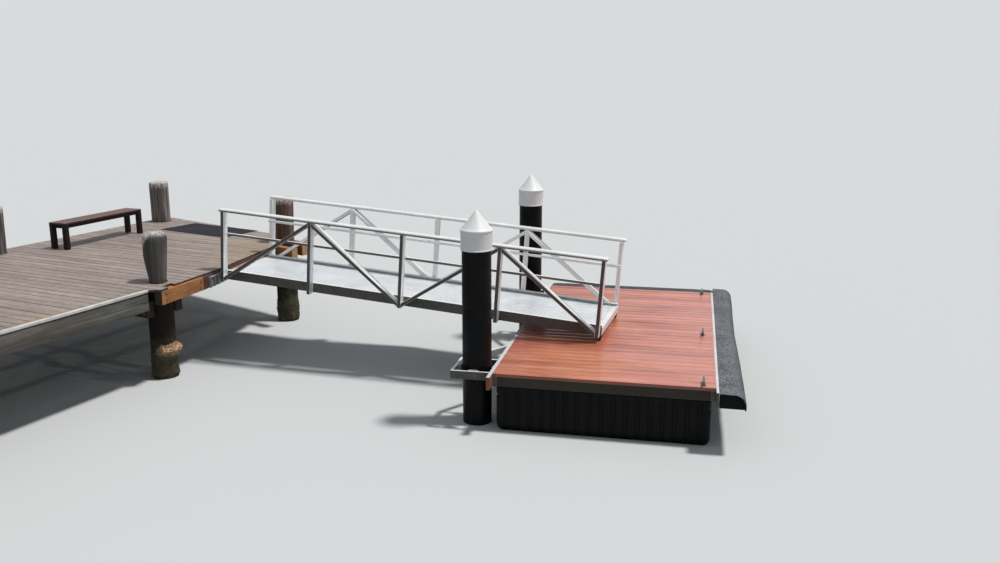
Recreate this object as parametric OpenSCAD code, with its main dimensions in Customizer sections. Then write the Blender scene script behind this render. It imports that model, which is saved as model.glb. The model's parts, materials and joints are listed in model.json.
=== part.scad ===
// A timber jetty head on round piles, with an aluminium truss gangway down to a floating
// pontoon that rides up and down two guide piles. Millimetres, +Z up. The origin is the
// foot of the pile beside the gangway landing, +X runs out along the gangway.

/* [Levels] */
// Height of the jetty deck above the feet of the piles
jetty_level = 1370; // [1250:10:1450]
// Height of the pontoon deck above the underside of its floats
pontoon_level = 720; // [660:10:780]

/* [Jetty] */
// Whole bays on the shore side of the landing pile
shore_bays = 3; // [1:1:5]
// Spacing of the pile bents along the jetty
bay_length = 3200; // [2600:50:4000]
// Spacing of the two pile rows across the jetty
pile_gauge = 3800; // [3400:50:4200]
// Angle by which the jetty turns away from square to the gangway
jetty_skew = 13; // [8:1:16]
// How far the left pile of a bent stands ahead of the right one
bent_lead = 400; // [0:50:600]
// The same lead at the outermost bent
head_lead = 750; // [400:50:900]
// How far the outermost right pile stands in from the right row
head_inset = 300; // [200:10:380]
// Deck beyond the line of the outermost piles
end_overhang = 380; // [250:10:500]
// Thickness of the deck boards
board_t = 30; // [25:1:50]
// Length of the deck before the landing pile that the new fascia covers
fascia_start = 450; // [380:10:500]

/* [Jetty timbers] */
// Diameter of the round piles
pile_d = 360; // [300:10:400]
// Height of the pile heads above the deck
pile_head = 760; // [500:10:1000]
// Height of the worn head of the landing pile above the deck
landing_head = 700; // [500:10:1000]
// Gap cut in the boards around each pile
notch_gap = 15; // [5:1:30]
// Thickness of the edge beams
edge_t = 90; // [60:5:120]
// Depth of the edge beams
edge_h = 290; // [260:10:340]
// Width of the girders under the boards
girder_w = 130; // [100:10:160]
// Depth of the girders under the boards
girder_h = 200; // [150:10:230]
// Number of girders
girder_count = 3; // [2:1:4]
// Width of each half of a headstock
headstock_w = 120; // [80:10:160]
// Depth of the headstocks
headstock_h = 225; // [150:5:300]
// Reach of the outermost headstock past its right pile, on the far side of the pile
far_reach = 220; // [190:10:300]
// Reach of the outermost headstock past its right pile, on the near side of the pile
near_reach = 520; // [300:10:560]
// Thickness of the fascia and the hinge beam
fascia_t = 115; // [80:5:125]
// Depth of the fascia and the hinge beam
fascia_h = 190; // [180:10:240]
// Angle of the fascia to the hinge beam
fascia_skew = 6; // [4:0.2:6.4]
// Distance from the near end of the fascia to the stretch of its top left bare of boards
bare_from = 140; // [100:10:170]
// Distance from the near end of the fascia to the end of that stretch
bare_to = 335; // [280:10:380]
// How far the boards past it stay back from the fascia's face
board_setback = 40; // [10:5:60]

/* [Bench] */
// Length of the bench
bench_l = 1720; // [1400:10:2000]
// Width of the bench
bench_w = 340; // [280:10:420]
// Height of the bench
bench_h = 435; // [400:5:480]
// Side of the square bench legs
bench_leg = 75; // [50:5:90]
// Depth of the rails under the bench seat
bench_rail_h = 60; // [40:5:90]
// Number of seat slats
slat_count = 5; // [3:1:6]
// Thickness of the seat slats
slat_t = 28; // [20:1:40]

/* [Gangway] */
// Distance of the deck edge at the hinge from the landing pile
hinge_edge_x = 408; // [395:1:440]
// Distance from the deck edge to the middle of the hinge line
hinge_gap = 112; // [110:1:130]
// Height of the hinge pins below the jetty deck
pin_drop = 117; // [112:1:125]
// Distance of the gangway's centre line from the landing pile
gangway_y = 1640; // [1600:10:1700]
// Angle by which the gangway turns away from square to the deck edge
gangway_turn = 5; // [3:0.5:5.5]
// Length from the hinge pins to the end of the chords
gangway_l = 5660; // [5200:50:6000]
// Width over the trusses
gangway_w = 1478; // [1300:2:1560]
// Height from the underside of the chords to the top of the handrails
truss_h = 1073; // [950:1:1150]
// Number of truss bays
truss_bays = 4; // [2:1:6]
// Depth of the channel chords
chord_h = 138; // [130:1:180]
// Width of the chord flanges
chord_flange = 55; // [45:1:70]
// Wall of the channel chords
chord_wall = 8; // [5:1:10]
// Height of the tread plate above the underside of the chords
tread_level = 100; // [85:1:110]
// Thickness of the tread plate
tread_t = 6; // [4:1:10]
// Face width of the truss posts
post_w = 50; // [35:1:60]
// Depth of the truss posts across the gangway
post_depth = 110; // [80:1:120]
// How far the posts reach below the chords
post_foot = 12; // [0:1:40]
// Face width of the diagonals
brace_w = 48; // [30:1:60]
// Side of the mid rails
midrail_w = 35; // [25:1:40]
// Height of the mid rails above the underside of the chords
midrail_level = 680; // [500:10:740]
// Width of the handrails
rail_w = 112; // [95:1:120]
// Depth of the handrails
rail_h = 46; // [35:1:60]
// How far the handrails stand out past the trusses
rail_over = 31; // [0:1:40]
// Height of the skid shoes under the toe
shoe_h = 71; // [60:1:80]
// Running clearance of the skid shoes over the pontoon deck
toe_clear = 8; // [7:1:15]

/* [Pontoon] */
// Distance of the pontoon's left deck edge from the landing pile
pontoon_x = 4956; // [4800:10:5100]
// Distance of the pontoon's near deck edge, towards the shore end
pontoon_y = 1058; // [1000:10:1200]
// Width of the pontoon deck
pontoon_w = 2590; // [2400:10:2800]
// Length of the pontoon deck
pontoon_l = 4670; // [4500:10:5000]
// Thickness of the pontoon deck boards
pontoon_board_t = 40; // [30:1:50]
// Depth of the pontoon frame
frame_h = 120; // [90:5:150]
// Width of the pontoon frame members
frame_w = 60; // [50:5:80]
// Number of joists between the end beams
joist_count = 5; // [3:1:8]
// Thickness of the waler on the left side
waler_t = 45; // [30:1:50]
// How far the side timbers and strips stand out past the near deck edge
side_reach = 160; // [100:10:200]
// Width of the strip along the right side
strip_w = 30; // [20:1:40]
// Width of the carpet covered fenders
fender_w = 310; // [240:5:340]
// Radius of their rounded outer edge
fender_r = 150; // [120:5:180]
// Depth of the fenders
fender_h = 200; // [190:5:300]
// Thickness of the fender wall
fender_wall = 22; // [15:1:35]
// Number of floats
float_count = 4; // [2:1:6]
// Gap between floats
float_gap = 60; // [30:5:120]
// Rounding of the floats' lower edges
float_r = 90; // [50:5:140]

/* [Guide piles] */
// Outside diameter of the sleeved guide piles
guide_d = 355; // [300:5:380]
// Distance of the guide piles from the pontoon's left deck edge
guide_offset = 250; // [245:5:280]
// Distance of the near guide pile from the near deck edge
guide_near = 280; // [275:5:400]
// Distance of the far guide pile from the far deck edge
guide_far = 630; // [600:5:700]
// Height of the cap's lower rim above the pontoon deck
guide_height = 1430; // [1200:10:1600]
// Height of the cap's skirt
cap_skirt = 230; // [150:10:300]
// Height of the cap's cone
cap_cone = 243; // [150:1:320]
// Wall of the cap
cap_wall = 12; // [6:1:16]
// Overhang of the cone over the skirt
cap_lip = 8; // [0:1:20]
// Running clearance between guide pile and slide pads
slide_clear = 12; // [8:1:16]
// Open distance from the guide pile to the collar frame
collar_gap = 60; // [50:5:80]
// Wall of the collar frame
collar_t = 32; // [20:1:40]
// Depth of the collar frame
collar_h = 100; // [80:5:120]

/* [Hidden] */
$fn = 48;
seat = 0.3;
pile_r = pile_d / 2;
deck_under = jetty_level - board_t;

// Jetty axes: local +Y runs out along the jetty, local -X is its left
function jetty(x, y) = [x * cos(jetty_skew) + y * sin(jetty_skew),
                        -x * sin(jetty_skew) + y * cos(jetty_skew)];
edge_in = pile_r + seat;
old_reach = pile_r / 2;
left_reach = pile_r / 3;
clasp = pile_r + headstock_w + 2 * seat;
edge_out = edge_in + edge_t;
left_in = -pile_gauge - edge_in;
left_out = -pile_gauge - edge_out;
board_end = left_in + seat;
head_right = [-head_inset, bay_length];
head_left = [-pile_gauge, bay_length + head_lead];
head_slope = (head_left[1] - head_right[1]) / (head_right[0] - head_left[0]);
shore_y = -shore_bays * bay_length - edge_out;
function bent_y(x) = head_right[1] + (head_right[0] - x) * head_slope;
function end_y(x) = bent_y(x) + end_overhang;
skewed = sqrt(1 + head_slope * head_slope);
beam_stop = edge_t * skewed;

// Hinge side of the head, in the part's own axes
hinge_y0 = 500;
fascia_l = 940;
boards_flush_y = hinge_y0 + 440;

// A point at a distance from the fascia's near end, behind its face
function fascia_at(along, back) =
    [hinge_edge_x - (fascia_l - along) * sin(fascia_skew) - back * cos(fascia_skew),
     hinge_y0 - (fascia_l - along) * cos(fascia_skew) + back * sin(fascia_skew)];
end_a = jetty(left_out, end_y(left_out));
end_b = jetty(0, end_y(0));
end_corner = [hinge_edge_x,
              end_a[1] + (hinge_edge_x - end_a[0]) * (end_b[1] - end_a[1]) / (end_b[0] - end_a[0])];
head_pile = jetty(head_right[0], head_right[1]);

// Gangway axes: origin on the hinge pins, +X down the chords, +Z square to them
pin_x = hinge_edge_x + hinge_gap;
pin_z = jetty_level - pin_drop;
pin_r = 16;
pin_fit = 0.05;
lug_r = 35;
lug_t = 12;
lug_gap = 2;
chord_under = -54;
toe_drop = shoe_h - chord_under;
toe_fall = pin_z - pontoon_level - toe_clear;
slope = asin(toe_fall / sqrt(gangway_l * gangway_l + toe_drop * toe_drop)) - atan(toe_drop / gangway_l);
half_w = gangway_w / 2;
web_out = half_w - post_depth;
first_post = 15;
chord_start = first_post - post_w / 2;
post_inset = 43;
last_post = gangway_l - post_inset;
post_pitch = (last_post - first_post) / truss_bays;
rail_under = chord_under + truss_h - rail_h;
rail_before = 20;
rail_beyond = 12;
rail_out = half_w + rail_over;
tread_top = chord_under + tread_level;

// Pontoon
frame_top = pontoon_level - pontoon_board_t;
frame_under = frame_top - frame_h;
deck_y0 = -pontoon_y;
deck_y1 = deck_y0 + pontoon_l;
deck_x1 = pontoon_x + pontoon_w;
strip_t = 6;
fender_x0 = deck_x1 + strip_w;
guide_r = guide_d / 2;
guide_x = pontoon_x - guide_offset;
guide_ys = [deck_y0 + guide_near, deck_y1 - guide_far];
guide_top = pontoon_level + guide_height;
collar_in = guide_r + collar_gap;
collar_out = collar_in + collar_t;
collar_back = pontoon_x - waler_t;
brace_reach = 690;

timber = "#8d8376";
new_timber = "#b5652f";
metal = "#c9ccce";
black = "#1c1d1f";

module on_jetty() {
    rotate([0, 0, -jetty_skew]) children();
}

module bar(x0, x1, y0, y1, z0, z1) {
    translate([x0, y0, z0]) cube([x1 - x0, y1 - y0, z1 - z0]);
}

// A beam between two points of a plan, its middle line moved aside
module plan_beam(p, q, aside, reach_p, reach_q, w, z0, z1) {
    run = q - p;
    translate([p[0], p[1], 0])
        rotate([0, 0, atan2(run[1], run[0])])
            bar(-reach_p, norm(run) + reach_q, aside - w / 2, aside + w / 2, z0, z1);
}

// Piles
module pile(at, head) {
    translate([at[0], at[1], 0]) cylinder(r = pile_r, h = jetty_level + head);
}

function right_pile(i) = [0, -i * bay_length];
function left_pile(i) = [-pile_gauge, bent_lead - i * bay_length];

module piles_right() {
    color(timber) on_jetty() {
        pile(head_right, pile_head);
        for (i = [0:shore_bays]) pile(right_pile(i), i == 0 ? landing_head : pile_head);
    }
}

module piles_left() {
    color(timber) on_jetty() {
        pile(head_left, pile_head);
        for (i = [0:shore_bays]) pile(left_pile(i), pile_head);
    }
}

// A timber bolted to one side of the piles of a bent, the near side being +1
module headstock(right, left, side, reach_right, reach_left, top) {
    plan_beam(right, left, side * (pile_r + seat + headstock_w / 2), reach_right, reach_left,
              headstock_w, top - headstock_h, top);
}

module headstocks() {
    color(timber) on_jetty()
        for (i = [0:shore_bays], side = [-1, 1])
            headstock(right_pile(i), left_pile(i), side, old_reach, old_reach, deck_under - girder_h);
}

// At the outermost bent they lie directly under the boards
module head_headstocks() {
    color(new_timber) on_jetty() {
        headstock(head_right, head_left, 1, near_reach, left_reach, deck_under);
        headstock(head_right, head_left, -1, far_reach, left_reach, deck_under);
    }
}

// Carried on the older headstocks, and butted against the outermost one
module girders() {
    pitch = pile_gauge / (girder_count + 1);
    color(timber) on_jetty()
        for (i = [1:girder_count]) {
            x = -i * pitch;
            bar(x - girder_w / 2, x + girder_w / 2, shore_y + edge_t,
                bent_y(x + girder_w / 2) - clasp * skewed, deck_under - girder_h, deck_under);
        }
}

module edge_beam_right() {
    color(timber) on_jetty()
        bar(edge_in, edge_out, shore_y, -fascia_start, jetty_level - edge_h, jetty_level);
}

module edge_beam_left() {
    color(timber) on_jetty()
        bar(left_out, left_in, shore_y, end_y(left_in) - beam_stop, jetty_level - edge_h, jetty_level);
}

module linear_extrude_at(z0, z1) {
    translate([0, 0, z0]) linear_extrude(z1 - z0) children();
}

module shore_beam() {
    color(timber) on_jetty()
        bar(left_in, edge_in, shore_y, shore_y + edge_t, deck_under - girder_h, deck_under);
}

// The new hardwood beam on the hinge side
module fascia() {
    color(new_timber)
        translate([hinge_edge_x, hinge_y0, 0])
            rotate([0, 0, -fascia_skew])
                bar(-fascia_t, 0, -fascia_l, -fascia_t * tan(fascia_skew) - seat,
                    deck_under - fascia_h, deck_under);
}

// An older beam carries the hinges, butted against the outermost headstock
module hinge_beam() {
    color("#6b3f30") difference() {
        bar(hinge_edge_x - fascia_t, hinge_edge_x, hinge_y0, head_pile[1],
            deck_under - fascia_h, deck_under);
        on_jetty() plan_beam(head_right, head_left, 0, near_reach, 0, 2 * clasp,
                             deck_under - fascia_h - 1, deck_under + 1);
    }
}

module pile_notches() {
    for (p = concat([head_right, head_left],
                    [for (i = [0:shore_bays]) right_pile(i)],
                    [for (i = [0:shore_bays]) left_pile(i)]))
        translate(jetty(p[0], p[1])) circle(r = pile_r + notch_gap);
}

module deck_head() {
    color(timber) linear_extrude_at(deck_under, jetty_level) difference() {
        polygon([jetty(board_end, -fascia_start + seat), jetty(edge_out, -fascia_start + seat),
                 fascia_at(0, 0), fascia_at(bare_from, 0), fascia_at(bare_from, fascia_t),
                 fascia_at(bare_to, fascia_t), fascia_at(bare_to, board_setback),
                 [hinge_edge_x, boards_flush_y], end_corner, end_a,
                 jetty(left_out, end_y(left_in) - beam_stop + seat),
                 jetty(board_end, end_y(left_in) - beam_stop + seat)]);
        pile_notches();
    }
}

module deck_shore() {
    color(timber) linear_extrude_at(deck_under, jetty_level) difference() {
        polygon([jetty(board_end, shore_y), jetty(edge_in - seat, shore_y),
                 jetty(edge_in - seat, -fascia_start), jetty(board_end, -fascia_start)]);
        pile_notches();
    }
}

// A dark mat lies flat on the boards near the outer end
mat_size = [1620, 800];
mat_at = [-2240, bay_length + 320];
mat_turn = -6;
mat_t = 10;
module deck_mat() {
    color("#2b3038") on_jetty()
        translate([mat_at[0], mat_at[1], jetty_level + seat]) rotate([0, 0, mat_turn])
            bar(-mat_size[0] / 2, mat_size[0] / 2, -mat_size[1] / 2, mat_size[1] / 2, 0, mat_t);
}

// Bench
bench_at = [-3225, bay_length - 1270];
bench_turn = 3.5;
module on_bench() {
    on_jetty()
        translate([bench_at[0], bench_at[1], jetty_level + seat]) rotate([0, 0, bench_turn]) children();
}

module bench_legs() {
    color("#4a2b25") on_bench()
        for (sx = [-1, 1], sy = [-1, 1])
            translate([sx * (bench_w - bench_leg) / 2, sy * (bench_l - bench_leg) / 2, 0])
                bar(-bench_leg / 2, bench_leg / 2, -bench_leg / 2, bench_leg / 2, 0, bench_h - slat_t);
}

module bench_rails() {
    rail_t = bench_leg / 2;
    top = bench_h - slat_t;
    color("#4a2b25") on_bench() {
        for (sx = [-1, 1])
            translate([sx * (bench_w - bench_leg) / 2, 0, 0])
                bar(-rail_t / 2, rail_t / 2, -bench_l / 2 + bench_leg, bench_l / 2 - bench_leg,
                    top - bench_rail_h, top);
        for (sy = [-1, 1])
            translate([0, sy * (bench_l - bench_leg) / 2, 0])
                bar(-bench_w / 2 + bench_leg, bench_w / 2 - bench_leg, -rail_t / 2, rail_t / 2,
                    top - bench_rail_h, top);
    }
}

module bench_seat() {
    gap = 6;
    slat_w = (bench_w - gap * (slat_count - 1)) / slat_count;
    color("#5a352b") on_bench()
        for (i = [0:slat_count - 1])
            bar(-bench_w / 2 + i * (slat_w + gap), -bench_w / 2 + i * (slat_w + gap) + slat_w,
                -bench_l / 2, bench_l / 2, bench_h - slat_t, bench_h);
}

// Hinge line, turned with the gangway but carried on a beam that is not
module on_hinge() {
    translate([pin_x, gangway_y, pin_z]) rotate([0, 0, -gangway_turn]) children();
}

module on_gangway() {
    on_hinge() rotate([0, slope, 0]) children();
}

eye_clear = 40;
eye_mid = web_out - chord_flange - eye_clear;
end_member_x = lug_r + 15;
member_w = 50;

module across(y0, y1) {
    translate([0, y1, 0]) rotate([90, 0, 0]) linear_extrude(y1 - y0) children();
}

// Mounting plate on the beam, set out past the lugs towards the truss
module hinge_bracket(side) {
    plate_t = 10;
    plate_w = 520;
    plate_h = 165;
    plate_out = 220;
    plate_top = 60;
    lug_top = 12;
    lug_off = lug_t + lug_gap;
    w = side * eye_mid;
    y = gangway_y + w * cos(gangway_turn) + side * plate_out;
    reach = (hinge_gap + w * sin(gangway_turn)) / cos(gangway_turn) - plate_t / 2;
    union() {
        bar(hinge_edge_x, hinge_edge_x + plate_t, y - plate_w / 2, y + plate_w / 2,
            pin_z + plate_top - plate_h, pin_z + plate_top);
        on_hinge() {
            for (s = [-1, 1])
                across(w + s * lug_off - lug_t / 2, w + s * lug_off + lug_t / 2) union() {
                    circle(r = lug_r);
                    translate([-reach, -lug_r]) square([reach, lug_r + lug_top]);
                }
            across(w - lug_off - lug_t, w + lug_off + lug_t) circle(r = pin_r);
        }
    }
}

module hinge_brackets() {
    color(metal) for (side = [-1, 1]) hinge_bracket(side);
}

module hinge_eyes() {
    arm_h = 60;
    color(metal) on_gangway()
        for (w = [-eye_mid, eye_mid])
            across(w - lug_t / 2, w + lug_t / 2) difference() {
                union() {
                    circle(r = lug_r);
                    translate([0, -arm_h / 2]) square([end_member_x, arm_h]);
                }
                circle(r = pin_r + pin_fit);
            }
}

// Gangway
module chord() {
    inner = web_out - chord_wall;
    bar(chord_start, gangway_l, inner, web_out, chord_under, chord_under + chord_h);
    for (z = [chord_under, chord_under + chord_h - chord_wall])
        bar(chord_start, gangway_l, web_out - chord_flange, inner - seat, z, z + chord_wall);
}

module chord_near() {
    color(metal) on_gangway() mirror([0, 1, 0]) chord();
}

module chord_far() {
    color(metal) on_gangway() chord();
}

function post_x(i) = first_post + i * post_pitch;

module truss_posts() {
    color(metal) on_gangway()
        for (i = [0:truss_bays], side = [0, 1]) mirror([0, side, 0])
            bar(post_x(i) - post_w / 2, post_x(i) + post_w / 2, web_out, half_w,
                chord_under - post_foot, rail_under);
}

// Diagonals run from chord to handrail between the faces of two posts
module truss_diagonals() {
    run = post_pitch - post_w;
    tall = rail_under - chord_under;
    cut = brace_w * sqrt(1 + pow((tall - brace_w) / run, 2));
    color(metal) on_gangway()
        for (i = [0:truss_bays - 1], side = [0, 1]) mirror([0, side, 0]) {
            rising = i % 2 == 0;
            a = rising ? 0 : tall - cut;
            b = rising ? tall - cut : 0;
            across(web_out, half_w) translate([post_x(i) + post_w / 2, chord_under])
                polygon([[0, a], [run, b], [run, b + cut], [0, a + cut]]);
        }
}

module mid_rails() {
    z = chord_under + midrail_level;
    color(metal) on_gangway()
        for (side = [0, 1]) mirror([0, side, 0])
            bar(chord_start, last_post + post_w / 2, web_out - midrail_w, web_out,
                z - midrail_w / 2, z + midrail_w / 2);
}

module handrails() {
    color(metal) on_gangway()
        for (side = [0, 1]) mirror([0, side, 0])
            bar(chord_start - rail_before, gangway_l + rail_beyond, rail_out - rail_w, rail_out,
                rail_under, rail_under + rail_h);
}

module tread_plate() {
    w = web_out - chord_wall;
    color(metal) on_gangway()
        bar(chord_start, gangway_l, -w, w, tread_top - tread_t, tread_top);
}

module cross_members() {
    w = web_out - chord_wall;
    color(metal) on_gangway()
        for (i = [0:2 * truss_bays]) {
            x = i == 0 ? end_member_x + member_w / 2 : first_post + i * post_pitch / 2;
            across(-w, w) translate([x - member_w / 2, chord_under + chord_wall])
                square([member_w, tread_level - tread_t - chord_wall]);
        }
}

// A wedge of plate fills the space between the tread and the deck edge
module threshold_flap() {
    w = web_out - chord_flange;
    flap_gap = 24;
    function lip(y) = ((flap_gap - hinge_gap - y * sin(gangway_turn)) / cos(gangway_turn)
                       - tread_top * sin(slope)) / cos(slope);
    color("#9a7464") on_gangway() linear_extrude_at(tread_top - tread_t, tread_top)
        polygon([[lip(-w), -w], [chord_start, -w], [chord_start, w], [lip(w), w]]);
}

module toe_nosing() {
    w = web_out - chord_wall;
    nose = 10;
    lap = 50;
    color("#e6e8ea") on_gangway() union() {
        bar(gangway_l, gangway_l + nose, -w, w, chord_under + chord_wall, tread_top + nose / 2);
        bar(gangway_l - lap, gangway_l + nose, -w, w, tread_top, tread_top + nose / 2);
    }
}

module toe_shoes() {
    shoe_l = 60;
    round_r = 15;
    color(black) on_gangway()
        for (side = [0, 1]) mirror([0, side, 0])
            across(web_out - chord_flange, web_out)
                translate([gangway_l - shoe_l, chord_under - shoe_h]) union() {
                    translate([round_r, 0]) square([shoe_l - 2 * round_r, shoe_h]);
                    translate([0, round_r]) square([shoe_l, shoe_h - round_r]);
                    for (x = [round_r, shoe_l - round_r]) translate([x, round_r]) circle(r = round_r);
                }
}

// Pontoon
module pontoon_deck() {
    color("#a85a3c")
        bar(pontoon_x, deck_x1, deck_y0, deck_y1, frame_top, pontoon_level);
}

module side_frames() {
    color(metal) {
        bar(pontoon_x, pontoon_x + frame_w, deck_y0, deck_y1, frame_under, frame_top);
        bar(deck_x1 - frame_w, deck_x1, deck_y0, deck_y1, frame_under, frame_top);
    }
}

module joists() {
    pitch = (pontoon_l - frame_w) / (joist_count + 1);
    color("#3a3530")
        for (i = [0:joist_count + 1])
            bar(pontoon_x + frame_w, deck_x1 - frame_w, deck_y0 + i * pitch,
                deck_y0 + i * pitch + frame_w, frame_under, frame_top);
}

module waler() {
    color("#6b3f30")
        bar(pontoon_x - waler_t, pontoon_x, deck_y0 - side_reach, deck_y1,
            frame_under, pontoon_level - strip_t);
}

module edge_strips() {
    color("#e6e8ea") {
        bar(pontoon_x - waler_t, pontoon_x, deck_y0 - side_reach, deck_y1,
            pontoon_level - strip_t, pontoon_level);
        bar(deck_x1, fender_x0, deck_y0 - side_reach, deck_y1, frame_under, pontoon_level);
    }
}

// Fender wall in section: flat on top, bent down in strips, flat on the outside
module fender_wall_strips(length) {
    strips = 3;
    slit = 0.1;
    inner = fender_r - fender_wall;
    middle = [fender_w - fender_r, -fender_r];
    linear_extrude(length) {
        translate([0, -fender_wall]) square([fender_w - fender_r - seat, fender_wall]);
        translate([fender_w - fender_wall, -fender_h])
            square([fender_wall, fender_h - fender_r - seat]);
    }
    for (i = [0:strips - 1])
        linear_extrude(length) translate(middle) intersection() {
            difference() {
                circle(r = fender_r);
                circle(r = inner);
            }
            rotate(i * 90 / strips + slit)
                polygon([[0, 0], [2 * fender_r, 0],
                         2 * fender_r * [cos(90 / strips - 2 * slit), sin(90 / strips - 2 * slit)]]);
        }
}

module fender_right() {
    color("#74746f")
        translate([fender_x0, deck_y1 + fender_w, pontoon_level]) rotate([90, 0, 0])
            fender_wall_strips(pontoon_l + fender_w + side_reach);
}

module fender_far() {
    color("#74746f")
        translate([pontoon_x, deck_y1, pontoon_level]) rotate([90, 0, 90])
            fender_wall_strips(fender_x0 - pontoon_x);
}

module floats() {
    pitch = (pontoon_l + float_gap) / float_count;
    float_w = pitch - float_gap;
    side_inset = 40;
    color(black)
        for (i = [0:float_count - 1])
            translate([pontoon_x + side_inset, deck_y0 + i * pitch, 0]) rotate([90, 0, 90])
                linear_extrude(pontoon_w - 2 * side_inset) union() {
                    translate([0, float_r]) square([float_w, frame_under - float_r]);
                    translate([float_r, 0]) square([float_w - 2 * float_r, float_r]);
                    for (y = [float_r, float_w - float_r]) translate([y, float_r]) circle(r = float_r);
                }
}

// Guide piles and collars
module guide_piles() {
    color(black)
        for (y = guide_ys)
            translate([guide_x, y, 0]) cylinder(r = guide_r, h = guide_top + cap_skirt - cap_wall);
}

module guide_caps() {
    outer = guide_r + seat + cap_wall;
    color("white")
        for (y = guide_ys)
            translate([guide_x, y, guide_top]) rotate_extrude()
                polygon([[guide_r + seat, 0], [outer, 0], [outer, cap_skirt],
                         [outer + cap_lip, cap_skirt], [0, cap_skirt + cap_cone],
                         [0, cap_skirt - cap_wall], [guide_r + seat, cap_skirt - cap_wall]]);
}

module collar() {
    z0 = pontoon_level - collar_h;
    left = -collar_out;
    back = collar_back - guide_x;
    brace_foot = 70;
    brace_end = 80;
    brace_lap = 1;
    brace_shy = 10;
    union() {
        for (side = [-1, 1])
            bar(left, back, side > 0 ? collar_in : -collar_out, side > 0 ? collar_out : -collar_in,
                z0, pontoon_level);
        bar(left, -collar_in, -collar_out, collar_out, z0, pontoon_level);
        linear_extrude_at(z0 + brace_shy, pontoon_level - brace_shy)
            polygon([[left, collar_out - brace_lap], [left + brace_foot, collar_out - brace_lap],
                     [back, collar_out + brace_reach - brace_end], [back, collar_out + brace_reach]]);
    }
}

module collar_near() {
    color(metal) translate([guide_x, guide_ys[0], 0]) collar();
}

module collar_far() {
    color(metal) translate([guide_x, guide_ys[1], 0]) mirror([0, 1, 0]) collar();
}

module slide_pads() {
    pad_w = 120;
    face = guide_r + slide_clear;
    z0 = pontoon_level - collar_h;
    back = collar_back - guide_x;
    color("#d8d8d2")
        for (y = guide_ys) translate([guide_x, y, 0]) {
            bar(-collar_in, -face, -pad_w / 2, pad_w / 2, z0, pontoon_level);
            bar(face, back, -pad_w / 2, pad_w / 2, z0, pontoon_level - strip_t);
            for (side = [0, 1]) mirror([0, side, 0])
                bar(-pad_w / 2, pad_w / 2, face, collar_in, z0, pontoon_level);
        }
}

// Mooring cleats
cleat_inset = 110;
cleat_before_mid = 155;
cleat_ys = [cleat_inset, pontoon_l / 2 - cleat_before_mid, pontoon_l - cleat_inset];
cleat_side = 140;
module cleat() {
    base = [50, 140, 8];
    leg_y = 30;
    leg_r = 12;
    horn_l = 240;
    horn_r = 13;
    horn_z = 55;
    union() {
        bar(-base[0] / 2, base[0] / 2, -base[1] / 2, base[1] / 2, 0, base[2]);
        for (y = [-leg_y, leg_y])
            translate([0, y, base[2] / 2]) cylinder(r = leg_r, h = horn_z - base[2] / 2);
        translate([0, horn_l / 2, horn_z]) rotate([90, 0, 0]) cylinder(r = horn_r, h = horn_l);
    }
}

module cleats() {
    color(metal)
        for (y = cleat_ys) translate([deck_x1 - cleat_side, deck_y0 + y, pontoon_level]) cleat();
}

piles_right();
piles_left();
headstocks();
head_headstocks();
girders();
edge_beam_right();
edge_beam_left();
shore_beam();
fascia();
hinge_beam();
deck_head();
deck_shore();
deck_mat();
bench_legs();
bench_rails();
bench_seat();
hinge_brackets();
guide_piles();
guide_caps();
chord_near();
chord_far();
truss_posts();
truss_diagonals();
mid_rails();
handrails();
tread_plate();
cross_members();
hinge_eyes();
threshold_flap();
toe_nosing();
toe_shoes();
pontoon_deck();
side_frames();
joists();
waler();
edge_strips();
fender_right();
fender_far();
floats();
collar_near();
collar_far();
slide_pads();
cleats();
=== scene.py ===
import bpy
import bmesh
import json
import math
import random
from mathutils import Matrix, Vector, noise


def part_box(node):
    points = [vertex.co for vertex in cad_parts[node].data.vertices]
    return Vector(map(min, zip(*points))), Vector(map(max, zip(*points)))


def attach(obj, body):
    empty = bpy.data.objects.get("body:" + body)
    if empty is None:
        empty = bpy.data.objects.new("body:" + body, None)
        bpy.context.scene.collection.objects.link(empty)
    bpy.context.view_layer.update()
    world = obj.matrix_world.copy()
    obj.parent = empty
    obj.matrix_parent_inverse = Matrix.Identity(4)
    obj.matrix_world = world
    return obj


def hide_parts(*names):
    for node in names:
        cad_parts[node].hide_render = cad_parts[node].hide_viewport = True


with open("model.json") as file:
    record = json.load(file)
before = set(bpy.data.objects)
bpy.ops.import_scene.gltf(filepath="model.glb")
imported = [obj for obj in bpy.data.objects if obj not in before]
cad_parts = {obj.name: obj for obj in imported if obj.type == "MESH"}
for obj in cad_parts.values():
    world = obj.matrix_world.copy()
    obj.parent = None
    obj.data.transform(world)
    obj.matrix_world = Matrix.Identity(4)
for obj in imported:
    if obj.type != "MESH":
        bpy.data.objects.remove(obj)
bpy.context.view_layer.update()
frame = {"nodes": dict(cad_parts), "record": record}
nodes = frame["nodes"]
record = frame["record"]
body_of = {n: b for b, ns in record["behaviour"]["bodies"].items() for n in ns}
slot_of = {s["node"]: s["material_slot"] for s in record["subparts"]}
scene = bpy.context.scene

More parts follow.
